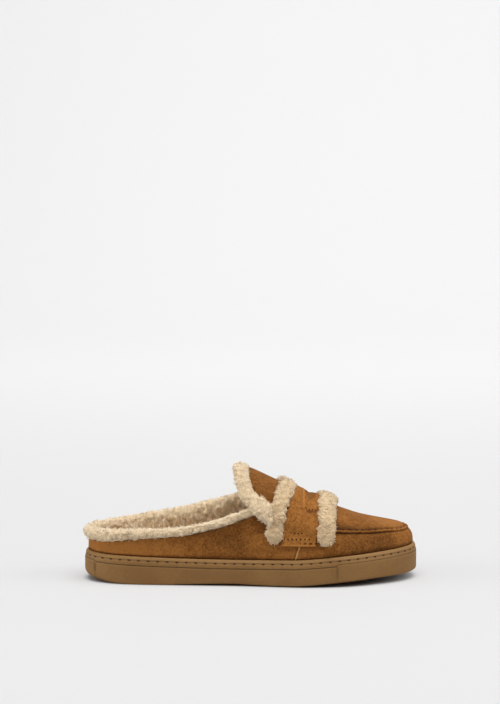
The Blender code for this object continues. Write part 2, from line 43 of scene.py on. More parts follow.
# Cupsole
# A moulded rubber cup that the lasted upper is glued and stitched into. Its wall has a thin top
# lip, a sunken row of sole stitches, a step down to a recessed side panel, and a raised bumper
# at the toe and the heel. The tread has grooves across it and a plain waist.
LATERAL, MEDIAL = -1, 1
SOLE_LENGTH = 270 * MM
BALL_WIDTH = 97 * MM
SOLE_WALL = 21.5 * MM
TOE_SPRING = 6.5 * MM
SPRING_START, SPRING_POWER = 0.63, 1.12
CUP_FLOOR = 8 * MM
CUP_INSET = 4.2 * MM
EDGE_ROUND, HEEL_ROUND, HEEL_ROUND_END = 1.6 * MM, 5 * MM, 0.16
PANEL_RECESS, PANEL_DROP = 0.7 * MM, 7.2 * MM
BUMPER_RAISE, TOE_BUMPER, HEEL_BUMPER = 1.4 * MM, 66 * MM, 9 * MM
PANEL_ENDS, PANEL_RAMP, PANEL_END_SHADE = (HEEL_BUMPER, SOLE_LENGTH - TOE_BUMPER), 0.5 * MM, 1.4 * MM
STITCH_DROP, STITCH_PITCH, STITCH_START = 3 * MM, 7.67 * MM, -119.5 * MM
NO_ENDS = -1.0, 1.0
# A row of stitches: its distance from the edge or seam it follows, its pitch, the length and width
# of a hole, and its first and last place
SOLE_STITCHES = STITCH_DROP, STITCH_PITCH, 2.5 * MM, 1.3 * MM, *NO_ENDS
TREAD_DEPTH, TREAD_GROOVE, TREAD_PITCH, TREAD_RIM = 1.5 * MM, 2.4 * MM, 9 * MM, 7 * MM
WAIST_REAR, WAIST_FRONT = -38 * MM, 10 * MM
SOLE_STATIONS = 360
TREAD_EDGE_RUN = 6 * MM
# How far the worn edge of the tread stands off the floor along the shoe, in millimetres
TREAD_EDGE = {
    "share": (0, 0.02, 0.056, 0.092, 0.237, 0.31, 0.382, 0.455, 0.527, 0.6, 0.708, 0.817, 0.89, 0.962, 1),
    "lift": (2.6, 2.4, 1.4, 0.3, 0.1, 0.9, 1.5, 1.8, 1.0, 0.8, 1.3, 1.8, 1.1, 0.2, 0.1),
}
# Lines round the wall over the panel, which make the stitches' groove and the lip: millimetres in
# from the outline and down from the top edge, and relief. The relief paints the lip paler as a
# highlight, and the groove and the inside of the cup darker as shade
WALL_LINES = [
    (0.45, 4.5, 0),
    (0.6, 3.9, 0.15),
    (0.95, 3.5, -0.1),
    (1.1, 3, -0.3),
    (1.05, 2.5, -0.1),
    (0.8, 2.1, 0.1),
    (0.95, 1.9, 0.25),
    (1.2, 1.3, 0.4),
    (1.632, 0.7, 0.55),
    (2.04, 0.2, 0.7),
    (2.5, 0, 0.8),
    (3.8, 0, 0.2),
    (4.2, 0.3, -0.3),
    (4.2, 4, -1),
]
# Middle line and half width of the sole, as shares of the ball width
PLAN = {
    "share": (0.00, 0.10, 0.22, 0.35, 0.46, 0.56, 0.65, 0.72, 0.80, 0.88, 0.95, 1.00),
    "centre": (-0.016, -0.016, -0.026, -0.050, -0.054, -0.036, -0.016, 0.002, 0.022, 0.046, 0.062, 0.070),
    "half": (0.340, 0.346, 0.352, 0.352, 0.370, 0.425, 0.478, 0.492, 0.472, 0.420, 0.372, 0.350),
}
END_FULLNESS = 8
# Height of the sole's top edge above its tread, as shares of the side wall
SOLE_EDGE = {
    "share": (0.00, 0.12, 0.28, 0.45, 0.62, 0.78, 0.90, 1.00),
    "top": (1.12, 1.06, 1.00, 0.97, 1.00, 1.02, 1.01, 0.99),
}


def along(table, column, share):
    """A table's column at each share of the length, on a smooth curve through its rows."""
    at, value = np.array(table["share"]), np.array(table[column])
    row = np.arange(len(at))
    low, high = np.maximum(row - 1, 0), np.minimum(row + 1, len(at) - 1)
    slope = (value[high] - value[low]) / (at[high] - at[low])
    i = np.clip(np.searchsorted(at, share, side="right") - 1, 0, len(at) - 2)
    span = at[i + 1] - at[i]
    t = np.clip((share - at[i]) / span, 0, 1)
    rise, start, end = value[i + 1] - value[i], slope[i] * span, slope[i + 1] * span
    return value[i] + t * (start + t * (3 * rise - 2 * start - end + t * (start + end - 2 * rise)))


def ramp(low, high, value):
    """0 below one value and 1 above another, with a soft rise between them."""
    t = np.clip((value - low) / (high - low), 0, 1)
    return t * t * (3 - 2 * t)


def hump(value, width):
    """1 at nought, falling softly to 0 at a width on each side."""
    return 1 - ramp(0, width, np.abs(value))


def length(vectors):
    return np.linalg.norm(vectors, axis=-1)


def unit(vectors):
    return vectors / np.maximum(length(vectors), 1e-12)[..., None]


def share_of(x):
    return x / SOLE_LENGTH + 0.5


def angle_at(share):
    """Outline angle, 0 at the back of the heel and pi at the tip of the toe."""
    return np.arccos(np.clip(1 - 2 * share, -1, 1))


def share_at(angle):
    return (1 - np.cos(angle)) / 2


def plan_point(side, angle):
    share = share_at(angle)
    roundness = np.sqrt(np.maximum(1 - np.abs(np.cos(angle)) ** END_FULLNESS, 0))
    width = side * along(PLAN, "half", share) * np.copysign(roundness, np.sin(angle))
    y = BALL_WIDTH * (along(PLAN, "centre", share) + width)
    return np.stack((SOLE_LENGTH * (share - 0.5), y), -1)


def outline(side, angle, inset=0.0):
    """Point of the sole's plan outline, moved inwards by an inset."""
    step = 1e-3
    run = plan_point(side, angle + step) - plan_point(side, angle - step)
    inward = unit(np.stack((run[..., 1], -run[..., 0]), -1)) * np.asarray(side)[..., None]
    return plan_point(side, angle) + inward * np.asarray(inset)[..., None]


def spring(share):
    past = np.maximum(0, (share - SPRING_START) / (1 - SPRING_START))
    return TOE_SPRING * past**SPRING_POWER


def sole_top(share):
    return spring(share) + SOLE_WALL * along(SOLE_EDGE, "top", share)


def round_the_shoe(stations):
    """Side and angle of each station on a walk round the shoe: heel, outer side, toe, inner side."""
    walk = np.linspace(-1, 1, 2 * stations + 1)
    return np.where(walk < 0, LATERAL, MEDIAL), np.pi * (1 - np.abs(walk))


def distance_along(points):
    """How far each point is along a line of points."""
    return np.concatenate(([0], np.cumsum(length(np.diff(points, axis=0)))))


def grid_skin(name, points, relief, uv=None, flip=False, closed=False):
    """A grid laid over rows and columns of points, with its seams merged and its shading smooth."""
    rows, columns = points.shape[0] - 1, points.shape[1] - 1
    bm = bmesh.new()
    bm.loops.layers.uv.new("UVMap")
    bmesh.ops.create_grid(bm, x_segments=columns, y_segments=rows, size=0.5, calc_uvs=True)
    mesh = bpy.data.meshes.new(name)
    bm.to_mesh(mesh)
    bm.free()
    flat = np.empty(len(mesh.vertices) * 3)
    mesh.vertices.foreach_get("co", flat)
    column = np.rint((flat[0::3] + 0.5) * columns).astype(int)
    row = np.rint((flat[1::3] + 0.5) * rows).astype(int)
    mesh.vertices.foreach_set("co", points[row, column].astype(np.float32).ravel())
    height = mesh.attributes.new("relief", "FLOAT", "POINT").data
    height.foreach_set("value", relief[row, column].astype(np.float32).ravel())
    if uv is not None:
        corner = np.empty(len(mesh.loops), dtype=np.int32)
        mesh.loops.foreach_get("vertex_index", corner)
        mesh.uv_layers[0].data.foreach_set("uv", uv[row, column][corner].astype(np.float32).ravel())
    bm = bmesh.new()
    bm.from_mesh(mesh)
    bmesh.ops.remove_doubles(bm, verts=bm.verts, dist=0.02 * MM)
    if closed:
        bmesh.ops.recalc_face_normals(bm, faces=bm.faces)
    if flip:
        bmesh.ops.reverse_faces(bm, faces=bm.faces)
    bm.to_mesh(mesh)
    bm.free()
    mesh.shade_smooth()
    return mesh


def in_scene(name, data):
    placed = bpy.data.objects.new(name, data)
    bpy.context.scene.collection.objects.link(placed)
    return placed


def finished_piece(name, mesh, material, nodes=()):
    """A piece of the shoe in the scene, riding on the shoe's body."""
    mesh.materials.append(material)
    piece = in_scene(name, mesh)
    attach(piece, "root")
    if nodes:
        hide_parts(*nodes)
    return piece


def node_group(name, **inputs):
    """A shader node group with named inputs, and the sockets that they come in by."""
    group = bpy.data.node_groups.new(name, "ShaderNodeTree")
    for socket, value in inputs.items():
        kind = "NodeSocketFloat" if isinstance(value, float) else "NodeSocketColor"
        group.interface.new_socket(socket, in_out="INPUT", socket_type=kind).default_value = value
    return group, group.nodes.new("NodeGroupInput").outputs


def put_out(group, **sources):
    """Gives a group its named outputs, each from a socket inside it."""
    for socket, source in sources.items():
        kind = "NodeSocketColor" if source.type == "RGBA" else "NodeSocketFloat"
        group.interface.new_socket(socket, in_out="OUTPUT", socket_type=kind)
    outputs = group.nodes.new("NodeGroupOutput").inputs
    for socket, source in sources.items():
        group.links.new(source, outputs[socket])
    return group


def add_node(tree, kind, links=(), **settings):
    """A new node's outputs; links are (input, source socket) or (input, plain value) pairs."""
    node = tree.nodes.new("ShaderNode" + kind)
    for key, value in settings.items():
        setattr(node, key, value)
    for key, source in links:
        if isinstance(source, bpy.types.NodeSocket):
            tree.links.new(source, node.inputs[key])
        else:
            node.inputs[key].default_value = source
    return node.outputs


def use_group(tree, group, **sockets):
    """A node group's outputs in a material, with its named inputs linked or set."""
    return add_node(tree, "Group", sockets.items(), node_tree=group)


def object_place(tree):
    return add_node(tree, "TexCoord")["Object"]


def speckle(tree, place, size, detail=3.0):
    """Noise with patches of about a size in metres, 0 to 1."""
    links = [("Vector", place), ("Scale", 0.55 / size), ("Detail", detail)]
    return add_node(tree, "TexNoise", links)["Fac"]


def sums(tree, operation, first, second=0.0, third=0.0):
    return add_node(tree, "Math", [(0, first), (1, second), (2, third)], operation=operation)[0]


def times(tree, first, second, plus=0.0):
    return sums(tree, "MULTIPLY_ADD", first, second, plus)


def spread(tree, value, low, high, to_low=0.0, to_high=1.0, soft=True):
    """A value's range stretched to another range, and held there."""
    kind = "SMOOTHSTEP" if soft else "LINEAR"
    links = [("Value", value), ("From Min", low), ("From Max", high)]
    links += [("To Min", to_low), ("To Max", to_high)]
    return add_node(tree, "MapRange", links, interpolation_type=kind)[0]


def blend(tree, factor, first, second):
    """A colour between two colours."""
    return add_node(tree, "Mix", [(0, factor), (6, first), (7, second)], data_type="RGBA")[2]


def toned(tree, colour, relief, pale, dark):
    """A colour drawn towards a pale one where its relief is raised and a dark one where it is sunk."""
    for (other, strength), full in ((pale, 1), (dark, -1)):
        share = times(tree, spread(tree, relief, 0, full, soft=False), strength)
        colour = blend(tree, share, colour, other)
    return colour


def tone(*colour):
    """A colour given as its red, green and blue from 0 to 255 on a screen."""
    parts = [part / 255 for part in colour]
    return (*[p / 12.92 if p < 0.0431 else ((p + 0.055) / 1.055) ** 2.4 for p in parts], 1)


GREY = 0.5, 0.5, 0.5, 1
# The rubber's body, a dusty colour that also paints highlight on raised parts, and a dark colour for
# painted shade in hollows
RUBBER_TONES = {"Body": tone(139, 100, 53), "Dusty": tone(164, 124, 72), "Hollow": tone(52, 32, 15)}


def moulded_rubber_group():
    """Tan rubber: soft mottling with dust, raised parts painted paler as highlight, hollows painted darker
    as shade, and fine moulding grain.
    """
    group, given = node_group("moulded rubber", Body=GREY, Dusty=GREY, Hollow=GREY, Relief=0.0)
    place = object_place(group)
    patches = speckle(group, place, 18 * MM)
    grain = speckle(group, place, 1.1 * MM, 4)
    dust = spread(group, times(group, grain, 0.5, patches), 0.6, 0.95)
    colour = blend(group, times(group, dust, 0.45), given["Body"], given["Dusty"])
    colour = toned(group, colour, given["Relief"], (given["Dusty"], 0.8), (given["Hollow"], 0.85))
    roughness = spread(group, grain, 0.2, 0.8, 0.5, 0.68, soft=False)
    return put_out(group, Colour=colour, Roughness=roughness, Height=times(group, patches, 0.4, grain))


MOULDED_RUBBER = moulded_rubber_group()


def new_material(name, **inputs):
    """A material, its nodes and its shader, whose plain values are given by name."""
    material = bpy.data.materials.new(name)
    material.use_nodes = True
    shader = material.node_tree.nodes["Principled BSDF"]
    for key, value in inputs.items():
        shader.inputs[key.replace("_", " ")].default_value = value
    return material, material.node_tree, shader


def finish_surface(tree, shader, look, height, depth):
    """A group's colour and roughness, and a height as a bump of a depth in metres, into a shader."""
    tree.links.new(look["Colour"], shader.inputs["Base Color"])
    tree.links.new(look["Roughness"], shader.inputs["Roughness"])
    bump = add_node(tree, "Bump", [("Height", height), ("Distance", depth), ("Strength", 1.0)])
    tree.links.new(bump[0], shader.inputs["Normal"])


def stitch_row_group():
    """1 in each hole of a row of stitches: distances along the row and off its line, in metres."""
    sockets = ("Run", "Off", "Pitch", "Length", "Width", "First", "Last")
    group, given = node_group("stitch row", **dict.fromkeys(sockets, 0.0))
    half = times(group, given["Pitch"], 0.5)
    beat = sums(group, "WRAP", sums(group, "ADD", given["Run"], half), given["Pitch"])
    beat = sums(group, "SUBTRACT", beat, half)
    along_hole = sums(group, "DIVIDE", beat, times(group, given["Length"], 0.5))
    off_hole = sums(group, "DIVIDE", given["Off"], times(group, given["Width"], 0.5))
    off_squared = times(group, off_hole, off_hole)
    hole = spread(group, times(group, along_hole, along_hole, off_squared), 1.5, 0.4)
    thread = times(group, spread(group, off_squared, 1.2, 0.2), sums(group, "SUBTRACT", 1.0, hole))
    inside = sums(group, "GREATER_THAN", given["Run"], given["First"])
    inside = times(group, inside, sums(group, "LESS_THAN", given["Run"], given["Last"]))
    return put_out(group, Hole=times(group, hole, inside), Thread=times(group, thread, inside))


STITCH_ROW = stitch_row_group()


def own_uv(tree):
    """The two distances kept in a piece's UV map."""
    apart = add_node(tree, "SeparateXYZ", [(0, add_node(tree, "UVMap", uv_map="UVMap")[0])])
    return apart[0], apart[1]


def own_relief(tree):
    return add_node(tree, "Attribute", attribute_name="relief")["Fac"]


def stitched(tree, relief, run, above, row, dark, pale=0.35):
    """A relief with a row of stitches, dark in the holes and pale on the thread, and the holes."""
    line, *sizes = row
    sizes = dict(zip(("Pitch", "Length", "Width", "First", "Last"), sizes))
    row = use_group(tree, STITCH_ROW, Run=run, Off=sums(tree, "SUBTRACT", above, line), **sizes)
    return times(tree, row["Thread"], pale, times(tree, row["Hole"], -dark, relief)), row["Hole"]


def sole_rubber():
    """The rubber with its row of stitch holes, which follow the piece's own UV map."""
    material, tree, shader = new_material("sole rubber", Specular_IOR_Level=0.35)
    relief, hole = stitched(tree, own_relief(tree), *own_uv(tree), SOLE_STITCHES, 1.1)
    rubber = use_group(tree, MOULDED_RUBBER, Relief=relief, **RUBBER_TONES)
    finish_surface(tree, shader, rubber, times(tree, hole, -6.0, rubber["Height"]), 0.1 * MM)
    return material


def tread_lift(share):
    return MM * along(TREAD_EDGE, "lift", share)


def sole_profile(share):
    """Inset, height and relief of each line round the sole's wall, from the tread up into the cup."""
    from_heel, from_toe = (SOLE_LENGTH * share - end for end in PANEL_ENDS)
    bumper = ramp(PANEL_RAMP, -PANEL_RAMP, from_heel)
    bumper += ramp(-PANEL_RAMP, PANEL_RAMP, from_toe)
    end_shade = 0.4 * (hump(from_heel, PANEL_END_SHADE) + hump(from_toe, PANEL_END_SHADE))
    panel = PANEL_RECESS * (1 - bumper)
    top = sole_top(share)
    panel_top = top - PANEL_DROP + BUMPER_RAISE * bumper
    corner = EDGE_ROUND + HEEL_ROUND * np.maximum(0, 1 - share / HEEL_ROUND_END) ** 1.5
    low = spring(share) + tread_lift(share)
    lines = []
    for turn in np.linspace(0, np.pi / 2, 7):
        sine, cosine = math.sin(turn), math.cos(turn)
        lines.append((corner * (1 - sine) + panel * sine, low + corner * (1 - cosine), 0.25 * cosine))
    foot = lines[-1][1]
    lines += [(panel, foot + (panel_top - foot) * part, -end_shade) for part in (0.3, 0.55, 0.75)]
    # The panel's face is painted paler as a highlight just under its top line, and the step above it
    # darker as shade
    lines += [
        (panel, panel_top - 1.5 * MM, 0.1 - end_shade),
        (panel - 0.05 * MM, panel_top - 0.9 * MM, 0.5 - end_shade),
        (panel, panel_top - 0.4 * MM, 0.4),
        (panel + 0.25 * MM, panel_top, -0.7),
        (panel + 0.25 * MM, panel_top + 0.4 * MM, -0.6),
        (0.42 * MM, panel_top + 0.7 * MM, 0),
        (0.36 * MM, panel_top + 1.1 * MM, 0.15),
    ]
    lines += [(inset * MM, top - down * MM, shade) for inset, down, shade in WALL_LINES]
    # The cup's floor is painted dark as shade
    return lines + [(CUP_INSET, spring(share) + CUP_FLOOR, -1)]


def towards_middle(ring, distances):
    """Rings drawn in from a ring to the line half way between its two sides."""
    middle = (ring + ring[::-1]) / 2
    half = np.linalg.norm(ring - middle, axis=-1, keepdims=True)
    rings = [ring + (middle - ring) * np.clip(d / np.maximum(half, 1e-6), 0, 1) for d in distances]
    return rings + [middle]


def tread_height(points, ring):
    """How far the tread's grooves go up at each point of one line round it."""
    x = points[:, 0]
    share = share_of(x)
    beat = (x + SOLE_LENGTH / 2 - 2 * TREAD_RIM + TREAD_PITCH / 2) % TREAD_PITCH - TREAD_PITCH / 2
    groove = ramp(TREAD_GROOVE / 2 + 0.4 * MM, TREAD_GROOVE / 2 - 0.4 * MM, np.abs(beat))
    waist = ramp(WAIST_REAR - 2 * MM, WAIST_REAR, x)
    waist *= ramp(WAIST_FRONT + 2 * MM, WAIST_FRONT, x)
    ends = ramp(0.03, 0.05, share) * ramp(0.93, 0.91, share)
    inside = ramp(TREAD_RIM - 0.6 * MM, TREAD_RIM, length(points - ring))
    return TREAD_DEPTH * groove * (1 - waist) * ends * inside


def cupsole():
    side, angle = round_the_shoe(SOLE_STATIONS)
    share = share_at(angle)
    edge = outline(side, angle)
    run = distance_along(edge)
    run *= round(run[-1] / STITCH_PITCH) * STITCH_PITCH / run[-1]
    run -= run[np.argmin(np.abs(edge[:SOLE_STATIONS, 0] - STITCH_START))]
    top = sole_top(share)
    far_from_stitches = 9 * top
    rings, relief, drop = [], [], []
    for inset, height, shade in sole_profile(share):
        plan = outline(side, angle, inset)
        rings.append(np.column_stack((plan, height)))
        relief.append(np.broadcast_to(shade, share.shape))
        drop.append(top - height)
    tread = towards_middle(rings[0], np.array((2, 5, 6.4, 7, 12, 20, 30)) * MM)
    for ring in tread:
        from_edge = length((ring - rings[0])[:, :2])
        lift = tread_lift(share) * (1 - ramp(0, TREAD_EDGE_RUN, from_edge))
        ring[:, 2] = spring(share_of(ring[:, 0])) + lift
        ring[:, 2] += tread_height(ring, rings[0])
    floor = towards_middle(rings[-1], [8 * MM, 20 * MM])
    points = np.array(tread[::-1] + rings + floor)
    # The floor of the cup is painted dark as shade, like the cup's wall
    relief = np.array([0 * share] * len(tread) + relief + [0 * share - 1] * len(floor))
    drop = np.array([far_from_stitches] * len(tread) + drop + [far_from_stitches] * len(floor))
    uv = np.stack((np.broadcast_to(run, drop.shape), drop), -1)
    mesh = grid_skin("cupsole", points, relief, uv, closed=True)
    finished_piece("cupsole", mesh, sole_rubber(), ["outsole"])


cupsole()

# Upper
# Tan suede, about two millimetres thick, cut as a vamp and two low sides and pulled over the last.
# The apron is sewn to the vamp by hand, so the seam stands up as a puckered ridge with a row of
# awl holes above it. A side seam runs down from the strap's end to the sole.
SUEDE = 2.2 * MM
FIT_GAP = 0.3 * MM
LAST_HEIGHT = 100 * MM
FEATHER_INSET = 3 * MM
LIP_CLEAR = 1.6 * MM
APRON_STEP, APRON_RIDGE = 0.85 * MM, 0.9 * MM
APRON_PITCH, APRON_FIRST_HOLE, APRON_HOLE_UP = 5.9 * MM, 73.2 * MM, 3 * MM
APRON_STITCHES = APRON_HOLE_UP, APRON_PITCH, 1.5 * MM, 1.3 * MM, *NO_ENDS
SEAM_BAND = 6 * MM
UPPER_STATIONS = 250
ROWS_BELOW_SEAM, ROWS_BESIDE_SEAM, ROWS_OF_APRON = 14, 19, 37
LAST = {
    "share": (0.00, 0.38, 0.49, 0.58, 0.64, 0.67, 0.70, 0.77, 0.83, 0.87, 1.00),
    "height": (1.000, 1.000, 0.883, 0.766, 0.683, 0.640, 0.618, 0.550, 0.488, 0.454, 0.420),
    "fullness": (2.00, 2.00, 2.00, 2.00, 2.04, 2.08, 2.12, 2.24, 2.42, 2.58, 2.70),
}
SPINE_HEEL, SPINE_TOE, SPINE_SOFT = 0.22, 0.875, 0.095
# Cut edge of the collar on each side and the apron's seam, as shares of the last's height
COLLAR = {
    "share": (0.00, 0.05, 0.16, 0.30, 0.40, 0.46, 0.52, 0.57, 0.61, 0.64, 0.80, 1.00),
    "lateral": (0.332, 0.332, 0.360, 0.394, 0.456, 0.514, 0.570, 0.610, 0.680, 0.760, 0.980, 0.990),
    "medial": (0.332, 0.334, 0.384, 0.452, 0.526, 0.576, 0.616, 0.640, 0.690, 0.760, 0.980, 0.990),
    "apron": (0.290, 0.290, 0.315, 0.335, 0.370, 0.395, 0.420, 0.440, 0.450, 0.445, 0.414, 0.394),
}
APRON_FADE = 0.700, 0.765


def spine_share(share):
    """Where a section meets the spine: below itself amidships, gathered in at heel and toe."""
    past_toe = share - (SPINE_TOE - SPINE_SOFT)
    before_heel = SPINE_HEEL + SPINE_SOFT - share
    toe = SPINE_TOE - SPINE_SOFT * np.exp(-np.maximum(past_toe, 0) / SPINE_SOFT)
    heel = SPINE_HEEL + SPINE_SOFT * np.exp(-np.maximum(before_heel, 0) / SPINE_SOFT)
    return np.where(past_toe > 0, toe, np.where(before_heel > 0, heel, share))


def section(angle):
    """Base height, spine height and superellipse power of the last's section."""
    share = share_at(angle)
    ridge = LAST_HEIGHT * along(LAST, "height", spine_share(share))
    return sole_top(share) + LIP_CLEAR, ridge, 2 / along(LAST, "fullness", share)


def last(side, angle, turn):
    """Point of the last: turn goes from 0 at the sole's edge to 1 at the spine over the foot."""
    side, angle, turn = np.broadcast_arrays(side, angle, turn)
    base, ridge, power = section(angle)
    share = spine_share(share_at(angle))
    spine = np.stack((SOLE_LENGTH * (share - 0.5), BALL_WIDTH * along(PLAN, "centre", share)), -1)
    swing = np.clip(turn, 0, 1) * np.pi / 2
    inward = 1 - np.maximum(np.cos(swing), 0) ** power
    edge = outline(side, angle, FEATHER_INSET)
    plan = edge + (spine - edge) * inward[..., None]
    height = base + (ridge - base) * np.sin(swing) ** power
    return np.concatenate((plan, height[..., None]), -1)


def slope_normal(side, angle, turn):
    """Which way the last faces on one side."""
    step = 1e-3
    middle = np.clip(turn, 2 * step, 0.985)
    run = last(side, angle + step, middle) - last(side, angle - step, middle)
    climb = last(side, angle, middle + step) - last(side, angle, middle - step)
    return unit(np.cross(run, climb)) * -np.asarray(side)[..., None]


def normal_at(side, angle, turn):
    """Which way the last faces: over the spine both sides are averaged, so that they meet."""
    side, angle, turn = np.broadcast_arrays(side, angle, turn)
    own = slope_normal(side, angle, turn)
    near_spine = (ramp(0.9, 1, turn) / 2)[..., None]
    return unit(own + (slope_normal(-side, angle, turn) - own) * near_spine)


def skin(side, angle, turn, offset):
    """Point at an offset out from the last."""
    return last(side, angle, turn) + normal_at(side, angle, turn) * np.asarray(offset)[..., None]


def turn_at(angle, height):
    """How far up the section a height lies."""
    base, ridge, power = section(angle)
    climb = np.clip((height - base) / (ridge - base), 0, 1)
    return np.arcsin(climb ** (1 / power)) * 2 / np.pi


def line_turn(table, column, angle):
    """How far up the section a line lies, whose heights a table gives as shares of the last's."""
    return turn_at(angle, LAST_HEIGHT * along(table, column, share_at(angle)))


def collar_turn(side, angle):
    lateral, medial = (line_turn(COLLAR, column, angle) for column in ("lateral", "medial"))
    return np.where(np.asarray(side) < 0, lateral, medial)


def seam_turn(side, angle):
    return np.minimum(line_turn(COLLAR, "apron", angle), 0.8 * collar_turn(side, angle))


def scatter(corner, seed):
    """Random shares, the same each time for the same whole-numbered place."""
    keys = np.array([(127.1, 311.7, 74.7), (269.5, 183.3, 246.1), (113.5, 271.9, 124.6)])
    return np.modf(np.abs(np.sin(corner @ keys.T + seed * 1.37) * 43758.5453))[0]


def soft_noise(points, size, seed=0):
    """Soft lumps of about a size, from -1 to 1."""
    cell = points / size
    base = np.floor(cell)
    part = cell - base
    part = part * part * (3 - 2 * part)
    total = 0
    for step in np.ndindex(2, 2, 2):
        weight = np.prod(np.where(np.array(step) == 1, part, 1 - part), axis=-1)
        total = total + weight * scatter(base + np.array(step), seed)[..., 0]
    return total * 2 - 1


# The nap leans unevenly after wear: each dent has its place, reach across and along, and depth
SOFT_DENTS = [
    ((-60, -36, 33), (30, 6), -0.5),
    ((-18, -40, 36), (10, 9), -0.7),
    ((8, -43, 34), (9, 12), 0.5),
    ((72, -40, 32), (14, 7), -0.5),
    ((98, -30, 38), (12, 8), -0.4),
    ((86, -24, 50), (16, 10), -0.5),
    ((104, 6, 50), (14, 18), -0.5),
    ((60, 40, 40), (14, 10), -0.6),
]


def soft_dents(points):
    """How far worn suede stands off its last: the main dents and swellings, then small ones."""
    lift = 0.3 * MM * soft_noise(points, 18 * MM, 3) + 0.08 * MM * soft_noise(points, 7 * MM, 5)
    for place, (long, tall), depth in SOFT_DENTS:
        gap = (points - np.array(place) * MM) / (np.array((long, tall, tall)) * MM)
        lift += depth * MM * np.exp(-np.sum(gap * gap, axis=-1))
    return lift


SIDE_SEAM_TOP = Vector((38, 0, 32)) * MM
SIDE_SEAM_FOOT = Vector((34.5, 0, 21)) * MM
SIDE_SEAM_WIDTH = 0.9 * MM
# The side seam's pale fold and the shade behind it: place off the seam, and relief
SIDE_SEAM_LINES = (0.5 * MM, 1.9), (-0.7 * MM, -0.5)


def suede_group():
    """Suede: brushed patches, speckled fibres, raised parts paler as wear and painted highlight, and
    hollows painted darker as shade.
    """
    group, given = node_group("suede nap", Nap=GREY, Brushed=GREY, Rubbed=GREY, Hollow=GREY, Relief=0.0)
    place = object_place(group)
    patches = speckle(group, place, 22 * MM, 2)
    blotches = speckle(group, place, 3.6 * MM, 2)
    fibres = speckle(group, place, 0.9 * MM, 3)
    brushed = times(group, patches, 0.8, times(group, blotches, 0.9))
    # Raised relief brushes the nap paler, for wear and as a painted highlight
    brushed = times(group, given["Relief"], 0.6, times(group, fibres, 2.4, brushed))
    colour = blend(group, spread(group, brushed, 1.45, 2.7, soft=False), given["Nap"], given["Brushed"])
    colour = toned(group, colour, given["Relief"], (given["Brushed"], 0.75), (given["Hollow"], 0.9))
    colour = blend(group, spread(group, given["Relief"], 0.8, 1.8), colour, given["Rubbed"])
    roughness = spread(group, fibres, 0.2, 0.8, 0.82, 1.0, soft=False)
    return put_out(group, Colour=colour, Roughness=roughness, Height=times(group, blotches, 0.6, fibres))


SUEDE_NAP = suede_group()
# The nap, a brushed colour that also paints highlight, a rubbed colour for the palest ridges, partly
# painted highlight, and a dark colour for painted shade in hollows
NAP, BRUSHED = tone(114, 67, 23), tone(170, 112, 54)
RUBBED, HOLLOW = tone(206, 156, 104), tone(40, 21, 8)


def suede_material(name, nap=NAP, brushed=BRUSHED, relief_in=own_relief):
    """A suede material; the function it is given puts its relief together in its nodes."""
    sheen = {"Sheen_Weight": 0.25, "Sheen_Roughness": 0.55, "Sheen_Tint": tone(205, 150, 95)}
    material, tree, shader = new_material(name, Specular_IOR_Level=0.12, **sheen)
    tones = {"Nap": nap, "Brushed": brushed, "Rubbed": RUBBED, "Hollow": HOLLOW}
    suede = use_group(tree, SUEDE_NAP, Relief=relief_in(tree), **tones)
    finish_surface(tree, shader, suede, suede["Height"], 0.25 * MM)
    return material


def vamp_relief(tree):
    """The upper's relief, with the awl holes and thread of the apron's seam and the side seam's fold."""
    relief = stitched(tree, own_relief(tree), *own_uv(tree), APRON_STITCHES, 1.5)[0]
    place = add_node(tree, "SeparateXYZ", [(0, object_place(tree))])
    lean = (SIDE_SEAM_TOP.x - SIDE_SEAM_FOOT.x) / (SIDE_SEAM_TOP.z - SIDE_SEAM_FOOT.z)
    seam_x = times(tree, place[2], lean, SIDE_SEAM_FOOT.x - lean * SIDE_SEAM_FOOT.z)
    gap = sums(tree, "SUBTRACT", place[0], seam_x)
    low = spread(tree, place[2], SIDE_SEAM_TOP.z + 4 * MM, SIDE_SEAM_TOP.z)
    for at, height in SIDE_SEAM_LINES:
        off = sums(tree, "ABSOLUTE", sums(tree, "SUBTRACT", gap, at))
        line = times(tree, low, spread(tree, off, SIDE_SEAM_WIDTH, 0.35 * SIDE_SEAM_WIDTH))
        relief = times(tree, line, height, relief)
    return relief


def wall_of(piece, thickness, offset):
    """Gives a sheet its thickness: inwards at an offset of -1, outwards at 1."""
    wall = piece.modifiers.new("wall", "SOLIDIFY")
    wall.thickness = thickness
    wall.offset = offset


def seam_form(above, over, run, share):
    """Lift and relief of the apron's seam: a step, a puckered ridge, and the hollows beside it."""
    ridge = hump(above - 1.5 * MM, 1.5 * MM) * over
    groove = hump(above - 0.15 * MM, 0.9 * MM) * over
    trough = hump(above - APRON_HOLE_UP, 0.9 * MM) * over
    shaded = hump(above - 4.2 * MM, 3.4 * MM) * over
    step = APRON_STEP * ramp(0, 1.2 * MM, above) * over + APRON_RIDGE * ridge - 0.25 * MM * groove
    pucker = -0.25 * MM * np.cos(2 * np.pi * run / APRON_PITCH) * hump(above - 2.2 * MM, 3 * MM)
    flatter = 1 - 0.4 * ramp(0.90, 0.98, share)
    lift = flatter * step + pucker - 0.35 * MM * trough
    # Relief: the ridge painted paler as a highlight; the groove, the trough and a band above the seam
    # painted darker as shade
    return lift, 0.8 * ridge - 0.45 * groove - 0.3 * trough - 0.2 * shaded


